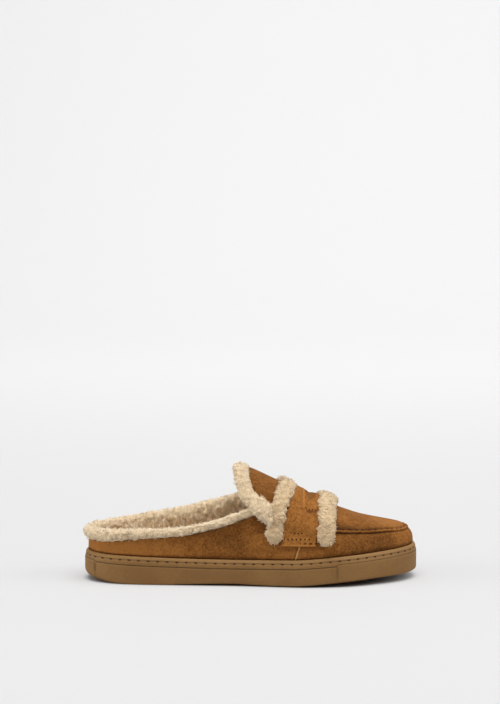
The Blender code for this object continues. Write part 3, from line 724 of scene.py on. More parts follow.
def worn_nap(points, share, turn, seam):
    """How pale the upper's nap is: uneven wear; a paler heel, toe, side below the strap and apron, partly
    wear and partly painted light; and painted shade on the apron beside its seam.
    """
    worn = 0.13 * soft_noise(points, 18 * MM, 61) + 0.1 * soft_noise(points, 5 * MM, 62)
    # Paler heel, toe and side below the strap: partly wear, partly painted light
    worn += 0.85 * ramp(0.42, 0.08, share) + 0.35 * ramp(0.84, 1.0, share)
    worn += 0.6 * hump(share - 0.64, 0.2) * (turn < seam) - 0.18
    # The apron is paler as painted light, but darker beside its seam as painted shade
    beside_seam = ramp(0.45, 0.0, (turn - seam) / (1 - seam))
    return worn + np.where(turn > seam, 0.28 - 0.8 * beside_seam, -0.15) * ramp(0.5, 0.62, share)


def upper():
    side, angle = round_the_shoe(UPPER_STATIONS)
    share = share_at(angle)
    edge, seam = collar_turn(side, angle), seam_turn(side, angle)
    climb = last(side, angle, seam + 0.01) - last(side, angle, seam - 0.01)
    band = np.minimum(SEAM_BAND * 0.02 / length(climb), 0.6 * (edge - seam))
    rows = [(seam * part, 0) for part in np.linspace(0, 1, ROWS_BELOW_SEAM + 1)[:-1] ** 0.8]
    rows += [(seam + band * part, part * SEAM_BAND) for part in np.linspace(0, 1, ROWS_BESIDE_SEAM)]
    apron = np.linspace(0, 1, ROWS_OF_APRON + 1)[1:]
    rows += [(seam + band + (edge - seam - band) * part, SEAM_BAND) for part in apron]
    turn = np.array([row[0] for row in rows])
    above = np.array([np.broadcast_to(row[1], share.shape) for row in rows])
    points = last(side, angle, turn)
    run = distance_along(last(side, angle, seam))
    outer_side = points[ROWS_BELOW_SEAM + 1, :UPPER_STATIONS, 0]
    run -= run[np.argmin(np.abs(outer_side - APRON_FIRST_HOLE))]
    sewn, over = ramp(*APRON_FADE, share), turn >= seam
    lift, shade = seam_form(above, over, run, share)
    relief = sewn * shade + worn_nap(points, share, turn, seam)
    # Painted shade on the suede under the collar's wool roll
    relief -= 0.3 * ramp(0.97, 1, turn / edge) * (share < 0.62)
    # Painted shade on the suede just above the sole's lip
    relief -= 0.2 * ramp(1.2 * MM, 0, points[..., 2] - sole_top(share) - LIP_CLEAR)
    lift = soft_dents(points) + sewn * lift
    points = points + normal_at(side, angle, turn) * lift[..., None]
    foot = outline(side, angle, CUP_INSET + FIT_GAP + 0.1 * MM)
    low, high = spring(share) + CUP_FLOOR + FIT_GAP, sole_top(share) + 0.2 * MM
    skirt = [np.column_stack((foot, low + (high - low) * part)) for part in (0, 0.5, 1)]
    points = np.concatenate((np.array(skirt), points))
    # The skirt inside the cup is painted darker as shade
    relief = np.concatenate((np.full((3, len(share)), -0.5), relief))
    off_seam = np.where((sewn > 0.5) & over, above, 1.0)
    uv = np.stack((np.broadcast_to(run, above.shape), off_seam), -1)
    uv = np.concatenate((np.ones((3, len(share), 2)), uv))
    mesh = grid_skin("upper", points, relief, uv)
    suede = suede_material("vamp suede", relief_in=vamp_relief)
    wall_of(finished_piece("suede_upper", mesh, suede, ["upper"]), SUEDE, -1)


upper()

# Shearling edging
# Curly cream shearling, cut in strips, rolled over the cut edges of the collar, tongue and strap
# and sewn down. Its wool stands in small crimped tufts that part in creases, painted darker as shade.
# The outer side's roll is pressed flat towards the ankle; the inner side's hangs down inside.
COLLAR_ROLL_WIDTH, COLLAR_ROLL_HEIGHT = 11 * MM, 9.6 * MM
COLLAR_FLATTENED, COLLAR_HANG = 2.6 * MM, 13 * MM
COLLAR_ROLL_INSET, COLLAR_HEEL_OUTSET = 2.6 * MM, 1.0 * MM
COLLAR_ROLL_FRONT = 6 * MM
TUFT_SIZE, CRIMP_SIZE, SWELL_SIZE = 3.7 * MM, 1.4 * MM, 9 * MM
DRIFT_SIZE, DRIFT = 3 * MM, 1.2 * MM
LOCK_SIZE, LOCK_LEAN, LOCK_BEND = 1.35 * MM, 0.55, math.radians(100)
ROLL_FULLNESS = 0.8


def tuft_gaps(points, size, seed):
    """Distance to the nearest and the next tuft, as shares of a size, and a random share a tuft."""
    cell = points / size
    base = np.floor(cell)
    nearest = np.full(points.shape[:-1], 9.0)
    second, share = nearest.copy(), nearest.copy()
    for step in np.ndindex(3, 3, 3):
        corner = base + np.array(step) - 1
        jitter = scatter(corner, seed)
        gap = length(corner + jitter - cell)
        closer = gap < nearest
        second = np.where(closer, nearest, np.minimum(second, gap))
        nearest = np.where(closer, gap, nearest)
        share = np.where(closer, jitter[..., 0], share)
    return nearest, second, share


def wool(points, normals, pile, seed=0):
    """Points raised into tufts and crimps of a pile height, with each one's relief, -1 to 1."""
    drift = np.stack([soft_noise(points, DRIFT_SIZE, seed + k) for k in (1, 2, 3)], -1)
    bent = points + drift * DRIFT
    near, second, share = tuft_gaps(bent, TUFT_SIZE, seed)
    tuft = np.sqrt(np.clip(1.15 - near**2, 0, 1)) * (0.7 + 0.6 * share)
    tuft *= ramp(-0.15, 0.35, second - near)
    near, second, share = tuft_gaps(bent, CRIMP_SIZE, seed + 9)
    crimp = ramp(-0.1, 0.5, second - near) * (0.6 + 0.8 * share)
    swell = soft_noise(points, SWELL_SIZE, seed + 5)
    height = 0.62 * tuft + 0.4 * crimp + 0.22 * swell - 0.58
    lean = drift - normals * np.sum(drift * normals, axis=-1, keepdims=True)
    moved = points + normals * (pile * height)[..., None] + lean * (0.5 * pile * tuft)[..., None]
    return moved, np.clip(1.5 * height + 0.3, -1, 1)


def lock_shape():
    """One small lock of wool that stands along Y, bends over and narrows to its tip."""
    bm = bmesh.new()
    ring = bmesh.ops.create_circle(bm, segments=3, radius=0.24)["verts"]
    bmesh.ops.rotate(bm, verts=ring, matrix=Matrix.Rotation(math.pi / 2, 3, "X"))
    bmesh.ops.translate(bm, verts=ring, vec=(1, 0, 0))
    geometry = bm.verts[:] + bm.edges[:]
    bmesh.ops.spin(bm, geom=geometry, axis=(0, 0, 1), dvec=(0, 0, 0), angle=LOCK_BEND, steps=3)
    bm.verts.index_update()
    points = np.array([vert.co for vert in bm.verts])
    faces = np.array([[vert.index for vert in face.verts] for face in bm.faces])
    bm.free()
    around = np.arctan2(points[:, 1], points[:, 0])
    done = around / LOCK_BEND
    strand = np.stack((np.cos(around), np.sin(around), 0 * around), -1)
    points = strand + (points - strand) * np.sqrt(np.clip(1.02 - done, 0.02, 1))[:, None]
    return points - (1, 0, 0), faces, done


def standing_turns(out, seed):
    """Rotations that stand a lock's Y along each direction, leaning a random way."""
    random = np.random.default_rng(seed)
    upright = unit(out + LOCK_LEAN * random.normal(size=out.shape))
    side = unit(np.cross(upright, random.normal(size=out.shape)))
    return np.stack((side, upright, np.cross(side, upright)), -1)


def fill_end(layer, key, values):
    """Gives the newest elements of a mesh's layer their values, and leaves the older ones."""
    values = values.ravel()
    filled = np.empty(len(layer) * (3 if key == "co" else 1), values.dtype)
    layer.foreach_get(key, filled)
    filled[-len(values) :] = values
    layer.foreach_set(key, filled)


def add_copies(mesh, shape, places, turns, sizes, relief):
    """Adds a copy of a small quad shape to a mesh at each place."""
    corners, faces, done = shape
    points = np.einsum("nij,vj->nvi", turns, corners) * sizes[:, None, None] + places[:, None]
    first = len(mesh.vertices) + np.arange(len(places)) * len(corners)
    index = faces + first[:, None, None]
    start = len(mesh.loops) + np.arange(0, index.size, 4)
    mesh.vertices.add(points.size // 3)
    mesh.loops.add(index.size)
    mesh.polygons.add(len(start))
    fill_end(mesh.vertices, "co", points.astype(np.float32))
    fill_end(mesh.loops, "vertex_index", index.astype(np.int32))
    fill_end(mesh.polygons, "loop_start", start.astype(np.int32))
    paler = relief[:, None] + 0.6 * done - 0.2
    fill_end(mesh.attributes["relief"].data, "value", paler.astype(np.float32))
    mesh.update(calc_edges=True)
    mesh.shade_smooth()


LOCK = lock_shape()


def add_locks(mesh, points, normals, relief, count, seed, larger=1.0, where=1.0):
    """Locks scattered over a woolly grid, with their roots sunk in it."""
    random = np.random.default_rng(seed)
    across = length(np.diff(points, axis=1))
    along_rows = length(np.diff(points, axis=0))
    where = np.broadcast_to(where, relief.shape)[:-1, :-1]
    area = (across[:-1] * along_rows[:, :-1] * where).ravel()
    chosen = random.choice(len(area), size=count, p=area / area.sum())
    row, column = np.divmod(chosen, across.shape[1])
    places, out = points[row, column], normals[row, column]
    sizes = larger * LOCK_SIZE * random.uniform(0.6, 1.3, count)
    places = places - out * (0.45 * sizes)[:, None]
    light = np.clip(relief[row, column] + random.uniform(-0.2, 0.5, count), -1, 1)
    add_copies(mesh, LOCK, places, standing_turns(out, seed), sizes, light)


def shearling_group():
    """Wool: cream tips, tan roots that darken the creases partly as painted shade, and uneven yellowing
    from tuft to tuft.
    """
    group, given = node_group("shearling wool", Tip=GREY, Root=GREY, Relief=0.0)
    place = object_place(group)
    tufts, strands = speckle(group, place, 5 * MM, 2), speckle(group, place, 0.9 * MM, 3)
    level = times(group, sums(group, "SUBTRACT", tufts, 0.5), 0.7, given["Relief"])
    level = times(group, sums(group, "SUBTRACT", strands, 0.5), 0.8, level)
    colour = blend(group, spread(group, level, -1.3, 0.2), given["Root"], given["Tip"])
    roughness = spread(group, strands, 0.2, 0.8, 0.85, 1.0, soft=False)
    return put_out(group, Colour=colour, Roughness=roughness, Height=strands)


SHEARLING = shearling_group()


def shearling_material(name, tip, root):
    soft = {"Specular_IOR_Level": 0.1, "Sheen_Weight": 0.3, "Sheen_Roughness": 0.6}
    deep = {"Subsurface_Weight": 0.35, "Subsurface_Radius": (1.0, 1.0, 1.0), "Subsurface_Scale": 1.5 * MM}
    material, tree, shader = new_material(name, **soft, **deep)
    look = use_group(tree, SHEARLING, Tip=tip, Root=root, Relief=own_relief(tree))
    finish_surface(tree, shader, look, look["Height"], 0.4 * MM)
    return material


CREAM_WOOL = shearling_material("cream wool", tone(236, 211, 174), tone(176, 136, 88))
# The strap's edging is the same wool drawn as a darker copy: painted shade
EDGING_WOOL = shearling_material("edging wool", tone(222, 193, 152), tone(178, 140, 94))


def round_end(travelled, radius):
    """Share of the section left near a rounded end."""
    left = np.minimum(np.minimum(travelled, travelled[-1] - travelled), radius) / radius
    return np.sqrt(np.maximum(1 - (1 - left) ** 2, 0))


def wool_roll(name, node, material, frames, seed, sides, pile, locks, fringe, inside=0.0, outer=1.0):
    """A woolly oval section swept along its centre, half width across and half height out.

    A collar's inside has longer wool than its outside, drawn a darker tan there as painted shade,
    and where it hangs down it parts in creases painted dark as shade; outer is the share of the
    section's height that its outside has. A fringe is how far tufts reach past the roll's edges.
    """
    centre, across, out = frames
    turn = np.linspace(0, 2 * np.pi, sides + 1)
    side_part = np.sign(np.cos(turn)) * np.abs(np.cos(turn)) ** ROLL_FULLNESS
    out_part = np.sign(np.sin(turn)) * np.abs(np.sin(turn)) ** ROLL_FULLNESS
    lifted = (1 - np.atleast_1d(outer))[:, None] * (1 - out_part) * ramp(0, 0.6, np.cos(turn))
    ring = across[:, None] * side_part[:, None] + out[:, None] * (out_part + lifted)[..., None]
    points = centre[:, None] + ring
    normals = unit(ring)
    inner = inside * ramp(0.35, -0.6, np.cos(turn))
    hanging = inside * ramp(0.1, -0.7, np.sin(turn)) * (np.cos(turn) < 0)
    thick = 1 - 0.3 * inside + 0.5 * inner + 0.6 * hanging
    thick = np.minimum(1, length(ring) / (2 * pile)) * thick
    moved, relief = wool(points, normals, pile, seed)
    # Painted shade: darker on the inner face, and darker still in the creases where it hangs down
    relief = relief - 0.2 * inner - hanging * (0.3 + 1.4 * ramp(0.4, -0.4, relief))
    moved = points + (moved - points) * thick[..., None]
    tooth = soft_noise(points, 3.6 * MM, seed + 20) + 0.4 * soft_noise(points, 1.8 * MM, seed + 21)
    sideways = (tooth * side_part**3)[..., None] * unit(across)[:, None]
    outwards = (tooth * out_part**3)[..., None] * unit(out)[:, None]
    moved = moved + fringe * (sideways + 0.4 * outwards)
    moved[:, -1] = moved[:, 0]
    mesh = grid_skin(name, moved, relief, closed=True)
    add_locks(mesh, moved, normals, relief, locks, seed)
    if inside:
        paler = relief + 1.5 * hanging
        add_locks(mesh, moved, normals, paler, round(0.35 * locks), seed + 1, 1.5, hanging)
    finished_piece(name, mesh, material, [node])


def collar_frames(steps):
    walk = np.linspace(-1, 1, 2 * steps + 1)
    side = np.where(walk < 0, LATERAL, MEDIAL)
    angle = angle_at(share_of(COLLAR_ROLL_FRONT)) * np.abs(walk)
    turn = collar_turn(side, angle)
    top = last(side, angle, turn)
    climb = unit(top - last(side, angle, turn * 0.9))
    normal = normal_at(side, angle, turn)
    left = round_end(distance_along(top), 1.8 * COLLAR_ROLL_WIDTH / 2)
    share = share_of(top[:, 0])
    flat = COLLAR_FLATTENED * ramp(0.05, 0.28, share) * (side < 0)
    hang = COLLAR_HANG * ramp(0.03, 0.16, share) * (side > 0)
    high = (left * (COLLAR_ROLL_HEIGHT - flat + hang) / 2)[:, None]
    heel = 1 - ramp(0.03, 0.10, share)
    inset = (COLLAR_ROLL_INSET - COLLAR_HEEL_OUTSET * heel + 0.22 * hang)[:, None]
    centre = top + climb * (high + FIT_GAP - (left * hang)[:, None]) - normal * inset
    wide = (left * (COLLAR_ROLL_WIDTH + 0.15 * hang) / 2)[:, None]
    outer = (COLLAR_ROLL_HEIGHT - flat) / (COLLAR_ROLL_HEIGHT - flat + hang)
    return (centre, normal * wide, climb * high), outer


frames, outer = collar_frames(steps=290)
size = {"sides": 56, "pile": 1.7 * MM, "locks": 5400, "fringe": 1.0 * MM, "inside": 0.7, "outer": outer}
wool_roll("collar_wool", "collar_shearling", CREAM_WOOL, frames, seed=11, **size)

# Tongue
# A suede tongue, edged with the same shearling, that stands up behind the strap, runs forward
# under it and is sewn to the vamp there.
TONGUE_THICKNESS = 2.5 * MM
TONGUE_REAR, TONGUE_FRONT, TONGUE_CORNER = 0.490, 0.676, 0.014
TONGUE_ROLL_WIDTH, TONGUE_ROLL_HEIGHT, TONGUE_ROLL_END = 12 * MM, 8 * MM, 17 * MM
TONGUE_OVERHANG, TONGUE_REAR_SUNK = 0.9 * MM, 2 * MM
TONGUE = {
    "share": (0.480, 0.502, 0.545, 0.582, 0.620, 0.680),
    "edge": (0.815, 0.750, 0.640, 0.560, 0.505, 0.470),
}


def tongue_edge_turn(angle):
    return line_turn(TONGUE, "edge", angle)


def tongue_rear(across):
    return TONGUE_REAR + TONGUE_CORNER * across**3


def over_instep(rear, front, edge_turn, across_steps, along_steps):
    """Side, angle and turn of a sheet laid over the instep, a row from side to side at a time."""
    across = np.linspace(-1, 1, across_steps + 1)[:, None]
    part = np.linspace(0, 1, along_steps + 1)[None]
    start, end = rear(np.abs(across)), front(np.abs(across))
    angle = angle_at(start + (end - start) * part)
    turn = 1 - np.abs(across) * (1 - edge_turn(angle))
    return np.broadcast_to(np.where(across < 0, LATERAL, MEDIAL), angle.shape), angle, turn


def edge_gap(points):
    """Distance of each point of a sheet from the sheet's nearest edge."""
    rows = np.stack([distance_along(points[:, j]) for j in range(points.shape[1])], 1)
    columns = np.stack([distance_along(points[i]) for i in range(points.shape[0])])
    nearest = np.minimum(rows, rows[-1:] - rows)
    return np.minimum(nearest, np.minimum(columns, columns[:, -1:] - columns))


def tongue():
    side, angle, turn = over_instep(
        tongue_rear, lambda across: TONGUE_FRONT + 0 * across, tongue_edge_turn, 90, 70
    )
    points = skin(side, angle, turn, FIT_GAP)
    gap = edge_gap(points)
    lift = soft_dents(points) - 0.5 * MM * hump(gap, 2 * MM)
    relief = -0.5 * hump(gap, 2.5 * MM)
    points = points + normal_at(side, angle, turn) * lift[..., None]
    mesh = grid_skin("tongue", points, relief)
    suede = suede_material("tongue suede", tone(102, 60, 21), tone(152, 99, 48))
    wall_of(finished_piece("suede_tongue", mesh, suede, ["tongue"]), TONGUE_THICKNESS, 1)


tongue()


def beside_line(points, normals, lift, down, lean, half_width, half_height, taper):
    """Frames of a roll that lies beside an edge line."""
    travel = distance_along(points)
    run = np.gradient(points, axis=0)
    square = unit(np.cross(run, normals))
    away = unit(square + (down - square) * lean[:, None])
    away = away / np.sum(away * square, axis=-1, keepdims=True)
    left = round_end(travel, taper)[:, None]
    centre = points + away * (half_width + FIT_GAP) + normals * lift[:, None]
    return centre, away * half_width * left, normals * half_height * left


def tongue_roll_frames(side_steps, rear_steps):
    half_width, half_height = TONGUE_ROLL_WIDTH / 2, TONGUE_ROLL_HEIGHT / 2
    done = np.linspace(1, 0, side_steps + 1)[:-1]
    corner, end = tongue_rear(1), share_of(TONGUE_ROLL_END)
    down_share = corner + (end - corner) * done
    across = np.linspace(1, -1, 2 * rear_steps + 1)
    rear_share = tongue_rear(np.abs(across))
    rear_turn = 1 - np.abs(across) * (1 - tongue_edge_turn(angle_at(rear_share)))
    side_turn = tongue_edge_turn(angle_at(down_share))
    share = np.concatenate((down_share, rear_share, down_share[::-1]))
    turn = np.concatenate((side_turn, rear_turn, side_turn[::-1]))
    medial = np.concatenate((np.full(side_steps, 1), across, np.full(side_steps, -1)))
    side = np.where(medial > 0, MEDIAL, LATERAL)
    sunk = np.concatenate((done, 0 * across, done[::-1]))
    rise = half_height - TONGUE_THICKNESS / 2 + FIT_GAP
    lift = TONGUE_THICKNESS / 2 + ramp(0.15, 0.9, sunk) * rise
    angle = angle_at(share)
    points, normals = last(side, angle, turn), normal_at(side, angle, turn)
    down = unit(last(side, angle, turn - 0.05) - points)
    size = half_width, half_height, 0.35 * half_width
    centre, wide, high = beside_line(points, normals, lift, down, sunk**1.5, *size)
    fuller = ramp(0, 0.4, sunk)[:, None]
    centre = centre - (unit(wide) * TONGUE_OVERHANG + unit(high) * TONGUE_REAR_SUNK) * (1 - fuller)
    return centre, wide * (1 + 0.22 * fuller), high * (1 + 0.15 * fuller)


frames = tongue_roll_frames(side_steps=90, rear_steps=70)
size = {"sides": 44, "pile": 1.8 * MM, "locks": 2600, "fringe": 1.2 * MM}
wool_roll("tongue_wool", "tongue_shearling", CREAM_WOOL, frames, seed=23, **size)

# Saddle strap
# One suede strap laid over the instep and the tongue, with a slot over the middle, a raised seam
# beside it and rows of stitching near its ends. Shearling edges it in front and behind.
STRAP_THICKNESS = 2.6 * MM
STRAP_END_HEIGHT = 32.5 * MM
STRAP_REAR_TOP, STRAP_REAR_FOOT = 35 * MM, 23.5 * MM
STRAP_FRONT_TOP, STRAP_FRONT_FOOT = 58 * MM, 51.5 * MM
SLOT_LENGTH, SLOT_WIDTH = 34 * MM, 11 * MM
SADDLE_SEAM_X, SADDLE_SEAM_REACH = 41.4 * MM, 31 * MM
SLOT_FRAME_X, SLOT_FRAME_HALF = 47.5 * MM, (6.5 * MM, 33 * MM)
SLOT_DEPTH, STRAP_GRID = 1.0 * MM, (250, 76)
# The strap's rows of stitches, each as the sole's row is given above
STRAP_STITCHES = [
    (2.3 * MM, 4.3 * MM, 2.6 * MM, 0.9 * MM, 39 * MM, 54 * MM),
    (5.6 * MM, 3.3 * MM, 1.4 * MM, 1.4 * MM, 24 * MM, 48 * MM),
    (11.2 * MM, 2.7 * MM, 1.3 * MM, 1.3 * MM, 31 * MM, 42 * MM),
    (31.5 * MM, 2.7 * MM, 1.2 * MM, 1.2 * MM, 43 * MM, 57 * MM),
]
STRAP_ROLL_WIDTH, STRAP_ROLL_HEIGHT, STRAP_ROLL_REACH = 13 * MM, 6.4 * MM, 0.985
STRAP_ROLL_STEPS = 340


def over_tongue(angle, turn):
    """Lowest offset for what lies over the upper: one gap up, or two and the tongue's thickness."""
    height = last(MEDIAL, angle, turn)[..., 2]
    share = share_at(angle)
    edge = LAST_HEIGHT * along(TONGUE, "edge", share)
    covered = ramp(edge - 9 * MM, edge - 1 * MM, height)
    seam = line_turn(COLLAR, "apron", angle)
    apron = ramp(*APRON_FADE, share) * ramp(seam - 0.14, seam, turn) * 1.4 * MM
    return FIT_GAP + covered * (TONGUE_THICKNESS + FIT_GAP) + apron


def strap_line(top, foot):
    """Share of the length along a strap edge, from its top over the spine down to its end."""
    return lambda across: share_of(top + (foot - top) * across)


def strap_end_turn(angle):
    return turn_at(angle, STRAP_END_HEIGHT)


STRAP_REAR = strap_line(STRAP_REAR_TOP, STRAP_REAR_FOOT)
STRAP_FRONT = strap_line(STRAP_FRONT_TOP, STRAP_FRONT_FOOT)


def slot_half_width(points):
    """Half width of the slot at each point's distance from the spine, and its place across it.

    The slot is backed with the same suede a little way down, as the tongue lies close under it.
    """
    middle = (STRAP_REAR_TOP + STRAP_FRONT_TOP) / 2
    angles = angle_at(share_of(middle + np.array([0, 1]) * 2.7 * MM))
    top, ahead = last(LATERAL, angles, np.ones(2))
    slope = math.atan2(ahead[2] - top[2], ahead[0] - top[0])
    along_slope = (points[..., 0] - top[0]) * math.cos(slope) + (points[..., 2] - top[2]) * math.sin(slope)
    reach = np.clip(np.abs(points[..., 1] - top[1]) * 2 / SLOT_LENGTH, 0, 1)
    return SLOT_WIDTH / 2 * np.sqrt(1 - reach**2) * (1 - 0.35 * reach), along_slope


def strap_relief(tree):
    """The strap's relief, with the rows of stitches across its ends and under its slot."""
    relief, distances = own_relief(tree), own_uv(tree)
    for row in STRAP_STITCHES:
        relief = stitched(tree, relief, *distances, row, 1.5, 0.3)[0]
    return relief


def saddle_strap():
    side, angle, turn = over_instep(STRAP_REAR, STRAP_FRONT, strap_end_turn, *STRAP_GRID)
    points = skin(side, angle, turn, over_tongue(angle, turn))
    end = np.stack([distance_along(points[:, j]) for j in range(points.shape[1])], 1)
    from_spine = np.abs(end - end[-1:] / 2)
    from_end = np.minimum(end, end[-1:] - end)
    x = points[..., 0]
    lift = 0.6 * soft_dents(points)
    relief = -0.25 * hump(edge_gap(points), 1.2 * MM)
    seam = ramp(SADDLE_SEAM_REACH + 1 * MM, SADDLE_SEAM_REACH - 1 * MM, from_spine)
    ridge = hump(x - SADDLE_SEAM_X, 0.6 * MM) * seam
    crease = hump(x - SADDLE_SEAM_X - 1.0 * MM, 0.7 * MM) * seam
    lift += 0.3 * MM * ridge - 0.3 * MM * crease
    # The seam's ridge is painted paler as a highlight and the crease beside it darker as shade
    relief += 0.65 * ridge - 0.9 * crease
    wide, long = SLOT_FRAME_HALF
    frame_line = ((np.abs(x - SLOT_FRAME_X) / wide) ** 4 + (from_spine / long) ** 4) ** 0.25 - 1
    pressed = hump(frame_line * wide, 0.8 * MM) * (x > SADDLE_SEAM_X + 1.8 * MM)
    lift -= 0.25 * MM * pressed
    relief -= 0.45 * pressed
    cut_edge = hump(from_end, 1.3 * MM)
    lift += 0.25 * MM * cut_edge
    relief += 1.1 * cut_edge
    half, along_slope = slot_half_width(points)
    inside = ramp(0.3 * MM, -0.5 * MM, np.abs(along_slope) - half) * (half > 0)
    lift -= SLOT_DEPTH * inside
    # Painted shade in the slot and along its edges
    relief -= 0.25 * inside + 0.4 * hump(np.abs(along_slope) - half, 0.8 * MM) * (half > 0)
    points = points + normal_at(side, angle, turn) * lift[..., None]
    mesh = grid_skin("saddle_strap", points, relief, np.stack((x, from_end), -1))
    suede = suede_material("strap suede", tone(122, 72, 26), tone(182, 122, 60), strap_relief)
    wall_of(finished_piece("suede_strap", mesh, suede, ["saddle_strap"]), STRAP_THICKNESS, 1)


saddle_strap()


def strap_roll_frames(line, away, overhang, fuller, sunk):
    """Frames of a strap's edging, which over the spine overhangs the strap and is fuller.

    It is sunk a little into what it lies on, as its wool is pressed down there.
    """
    walk = np.linspace(-1, 1, STRAP_ROLL_STEPS + 1)
    across = (0.55 * walk + 0.45 * np.sin(np.pi / 2 * walk))[::away] * STRAP_ROLL_REACH
    side = np.where(across < 0, LATERAL, MEDIAL)
    angle = angle_at(line(np.abs(across)))
    turn = 1 - np.abs(across) * (1 - strap_end_turn(angle))
    half_width, half_height = STRAP_ROLL_WIDTH / 2, STRAP_ROLL_HEIGHT / 2
    points, normals = last(side, angle, turn), normal_at(side, angle, turn)
    lift = over_tongue(angle, turn) + half_height - sunk * hump(across, 1)
    size = half_width, half_height, 1.5 * half_width
    centre, wide, high = beside_line(points, normals, lift, normals, 0 * lift, *size)
    over_spine = hump(across, 0.9)[:, None]
    thicker = unit(high) * over_spine * fuller / 4
    centre = centre - unit(wide) * over_spine * (overhang - fuller / 2) + thicker
    return centre, wide + unit(wide) * over_spine * fuller / 2, high + thicker


# The edging behind the strap and before it: its name, the strap's edge, which way round it goes,
# its overhang and added fullness over the spine, how far it is sunk, and its seed
STRAP_ROLLS = [
    ("rear", STRAP_REAR, -1, 0.5 * MM, 0, 2.4 * MM, 31),
    ("front", STRAP_FRONT, 1, 4.4 * MM, 2 * MM, 1.8 * MM, 37),
]
size = {"sides": 48, "pile": 1.5 * MM, "locks": 2600, "fringe": 1.6 * MM}
for place, line, away, overhang, fuller, sunk, seed in STRAP_ROLLS:
    frames = strap_roll_frames(line, away, overhang, fuller, sunk)
    wool_roll("strap_wool_" + place, "strap_shearling_" + place, EDGING_WOOL, frames, seed, **size)

# Lining and footbed
# The inside and the tongue's underside are lined with the same wool, shorter and flattened, and
# the cushioned footbed is covered with it.
FOOTBED_THICKNESS, FOOTBED_ROUND, FOOTBED_DISH = 11.5 * MM, 2 * MM, 2.4 * MM
LINING_DEPTH, LINING_FULLNESS, TONGUE_LINING_DEPTH = 3.6 * MM, 2.4 * MM, 6.2 * MM
LINING_STATIONS, LINING_ROWS, LINING_LOCKS = 260, 50, 3000

# The same wool drawn as a paler copy for the inside and the footbed: painted light, as they lie in shade
LINING_WOOL = shearling_material("lining wool", tone(240, 212, 172), tone(188, 146, 98))


def footbed():
    side, angle = round_the_shoe(LINING_STATIONS)
    share = share_at(angle)
    edge = CUP_INSET + 2 * FIT_GAP + 0.1 * MM + SUEDE + FIT_GAP
    low = CUP_FLOOR + FIT_GAP
    top = low + FOOTBED_THICKNESS
    wall = [(edge, low), (edge, top - FOOTBED_ROUND)]
    wall += [(edge + 0.4 * FOOTBED_ROUND, top - 0.35 * FOOTBED_ROUND), (edge + 1.6 * FOOTBED_ROUND, top)]
    rings = []
    for inset, height in wall:
        plan = outline(side, angle, inset)
        rings.append(np.column_stack((plan, spring(share) + height)))
    cover = np.array(towards_middle(rings[-1], np.arange(1, 34) * MM))
    from_edge = length((cover - rings[-1])[..., :2])
    cover[..., 2] -= FOOTBED_DISH * ramp(0, 0.17 * BALL_WIDTH, from_edge)
    under = towards_middle(rings[0], [])
    points = np.array(under + rings + list(cover))
    up = np.zeros_like(points)
    up[..., 2] = 1
    raised, relief = wool(points, up, 1.3 * MM, 41)
    hidden = np.arange(len(points)) < len(under) + 3
    points = np.where(hidden[:, None, None], points, raised)
    mesh = grid_skin("footbed", points, relief, closed=True)
    pile = slice(len(under) + 3, None)
    add_locks(mesh, points[pile], up[pile], relief[pile], LINING_LOCKS, 43)
    piece = finished_piece("footbed_wool", mesh, LINING_WOOL, ["footbed"])


footbed()


def wool_sheet(name, points, inward, pile, locks, seed, locks_seed):
    """A lining: one sheet of wool whose pile stands inwards, with locks scattered over it."""
    points, relief = wool(points, inward, pile, seed)
    relief -= 0.2
    mesh = grid_skin(name, points, relief, flip=True)
    add_locks(mesh, points, inward, relief, locks, locks_seed)
    finished_piece(name, mesh, LINING_WOOL)


def lining():
    side, angle = round_the_shoe(LINING_STATIONS)
    part = np.linspace(0, 1, LINING_ROWS)[:, None]
    turn = np.minimum(collar_turn(side, angle) * part, 1)
    normals = normal_at(side, angle, turn)
    fuller = LINING_FULLNESS * ramp(0.3, 0.8, part) * ramp(0.60, 0.5, share_at(angle))
    points = last(side, angle, turn) - normals * (SUEDE + LINING_DEPTH + fuller)[..., None]
    wool_sheet("lining_wool", points, -normals, 2.2 * MM, LINING_LOCKS, seed=47, locks_seed=53)


lining()


def tongue_lining():
    """Wool on the underside of the tongue, down to the lining of the vamp."""
    side, angle, turn = over_instep(
        lambda across: tongue_rear(across) - 0.004,
        lambda across: 0.72 + 0 * across,
        lambda angle: tongue_edge_turn(angle) - 0.02,
        across_steps=60,
        along_steps=50,
    )
    normals = normal_at(side, angle, turn)
    depth = TONGUE_LINING_DEPTH * ramp(TONGUE_REAR, 0.6, share_at(angle))
    points = last(side, angle, turn) - normals * depth[..., None]
    wool_sheet("tongue_lining", points, -normals, 1.8 * MM, 700, seed=59, locks_seed=61)


tongue_lining()

# Camera, light and floor
# A plain pale studio floor that curves up into a backdrop, lit by a wide softbox overhead, one at
# each side, a light on the backdrop and even light from all round, as in a catalogue picture.
SHOE_MIDDLE = Vector((0, 0, 45)) * MM
CAMERA_RISE = math.radians(10)
CAMERA_DISTANCE = 1.914
CAMERA_LENS = 120
FRAME_HEIGHT_PX, SENSOR_MM = 704, 36
MIDDLE_BELOW_CENTRE_PX = 169.8
MIDDLE_RIGHT_OF_CENTRE_PX = 1

camera_data = bpy.data.cameras.new("camera")
camera_data.lens = CAMERA_LENS
camera_data.sensor_width = SENSOR_MM
camera = in_scene("camera", camera_data)
back = Vector((0, -math.cos(CAMERA_RISE), math.sin(CAMERA_RISE)))
camera.location = SHOE_MIDDLE + back * CAMERA_DISTANCE
px_slope = SENSOR_MM / FRAME_HEIGHT_PX / CAMERA_LENS
pitch = CAMERA_RISE - math.atan(MIDDLE_BELOW_CENTRE_PX * px_slope)
yaw = math.atan(MIDDLE_RIGHT_OF_CENTRE_PX * px_slope)
camera.rotation_euler = (math.pi / 2 - pitch, 0, yaw)
camera_data.clip_end = 20
bpy.context.scene.camera = camera

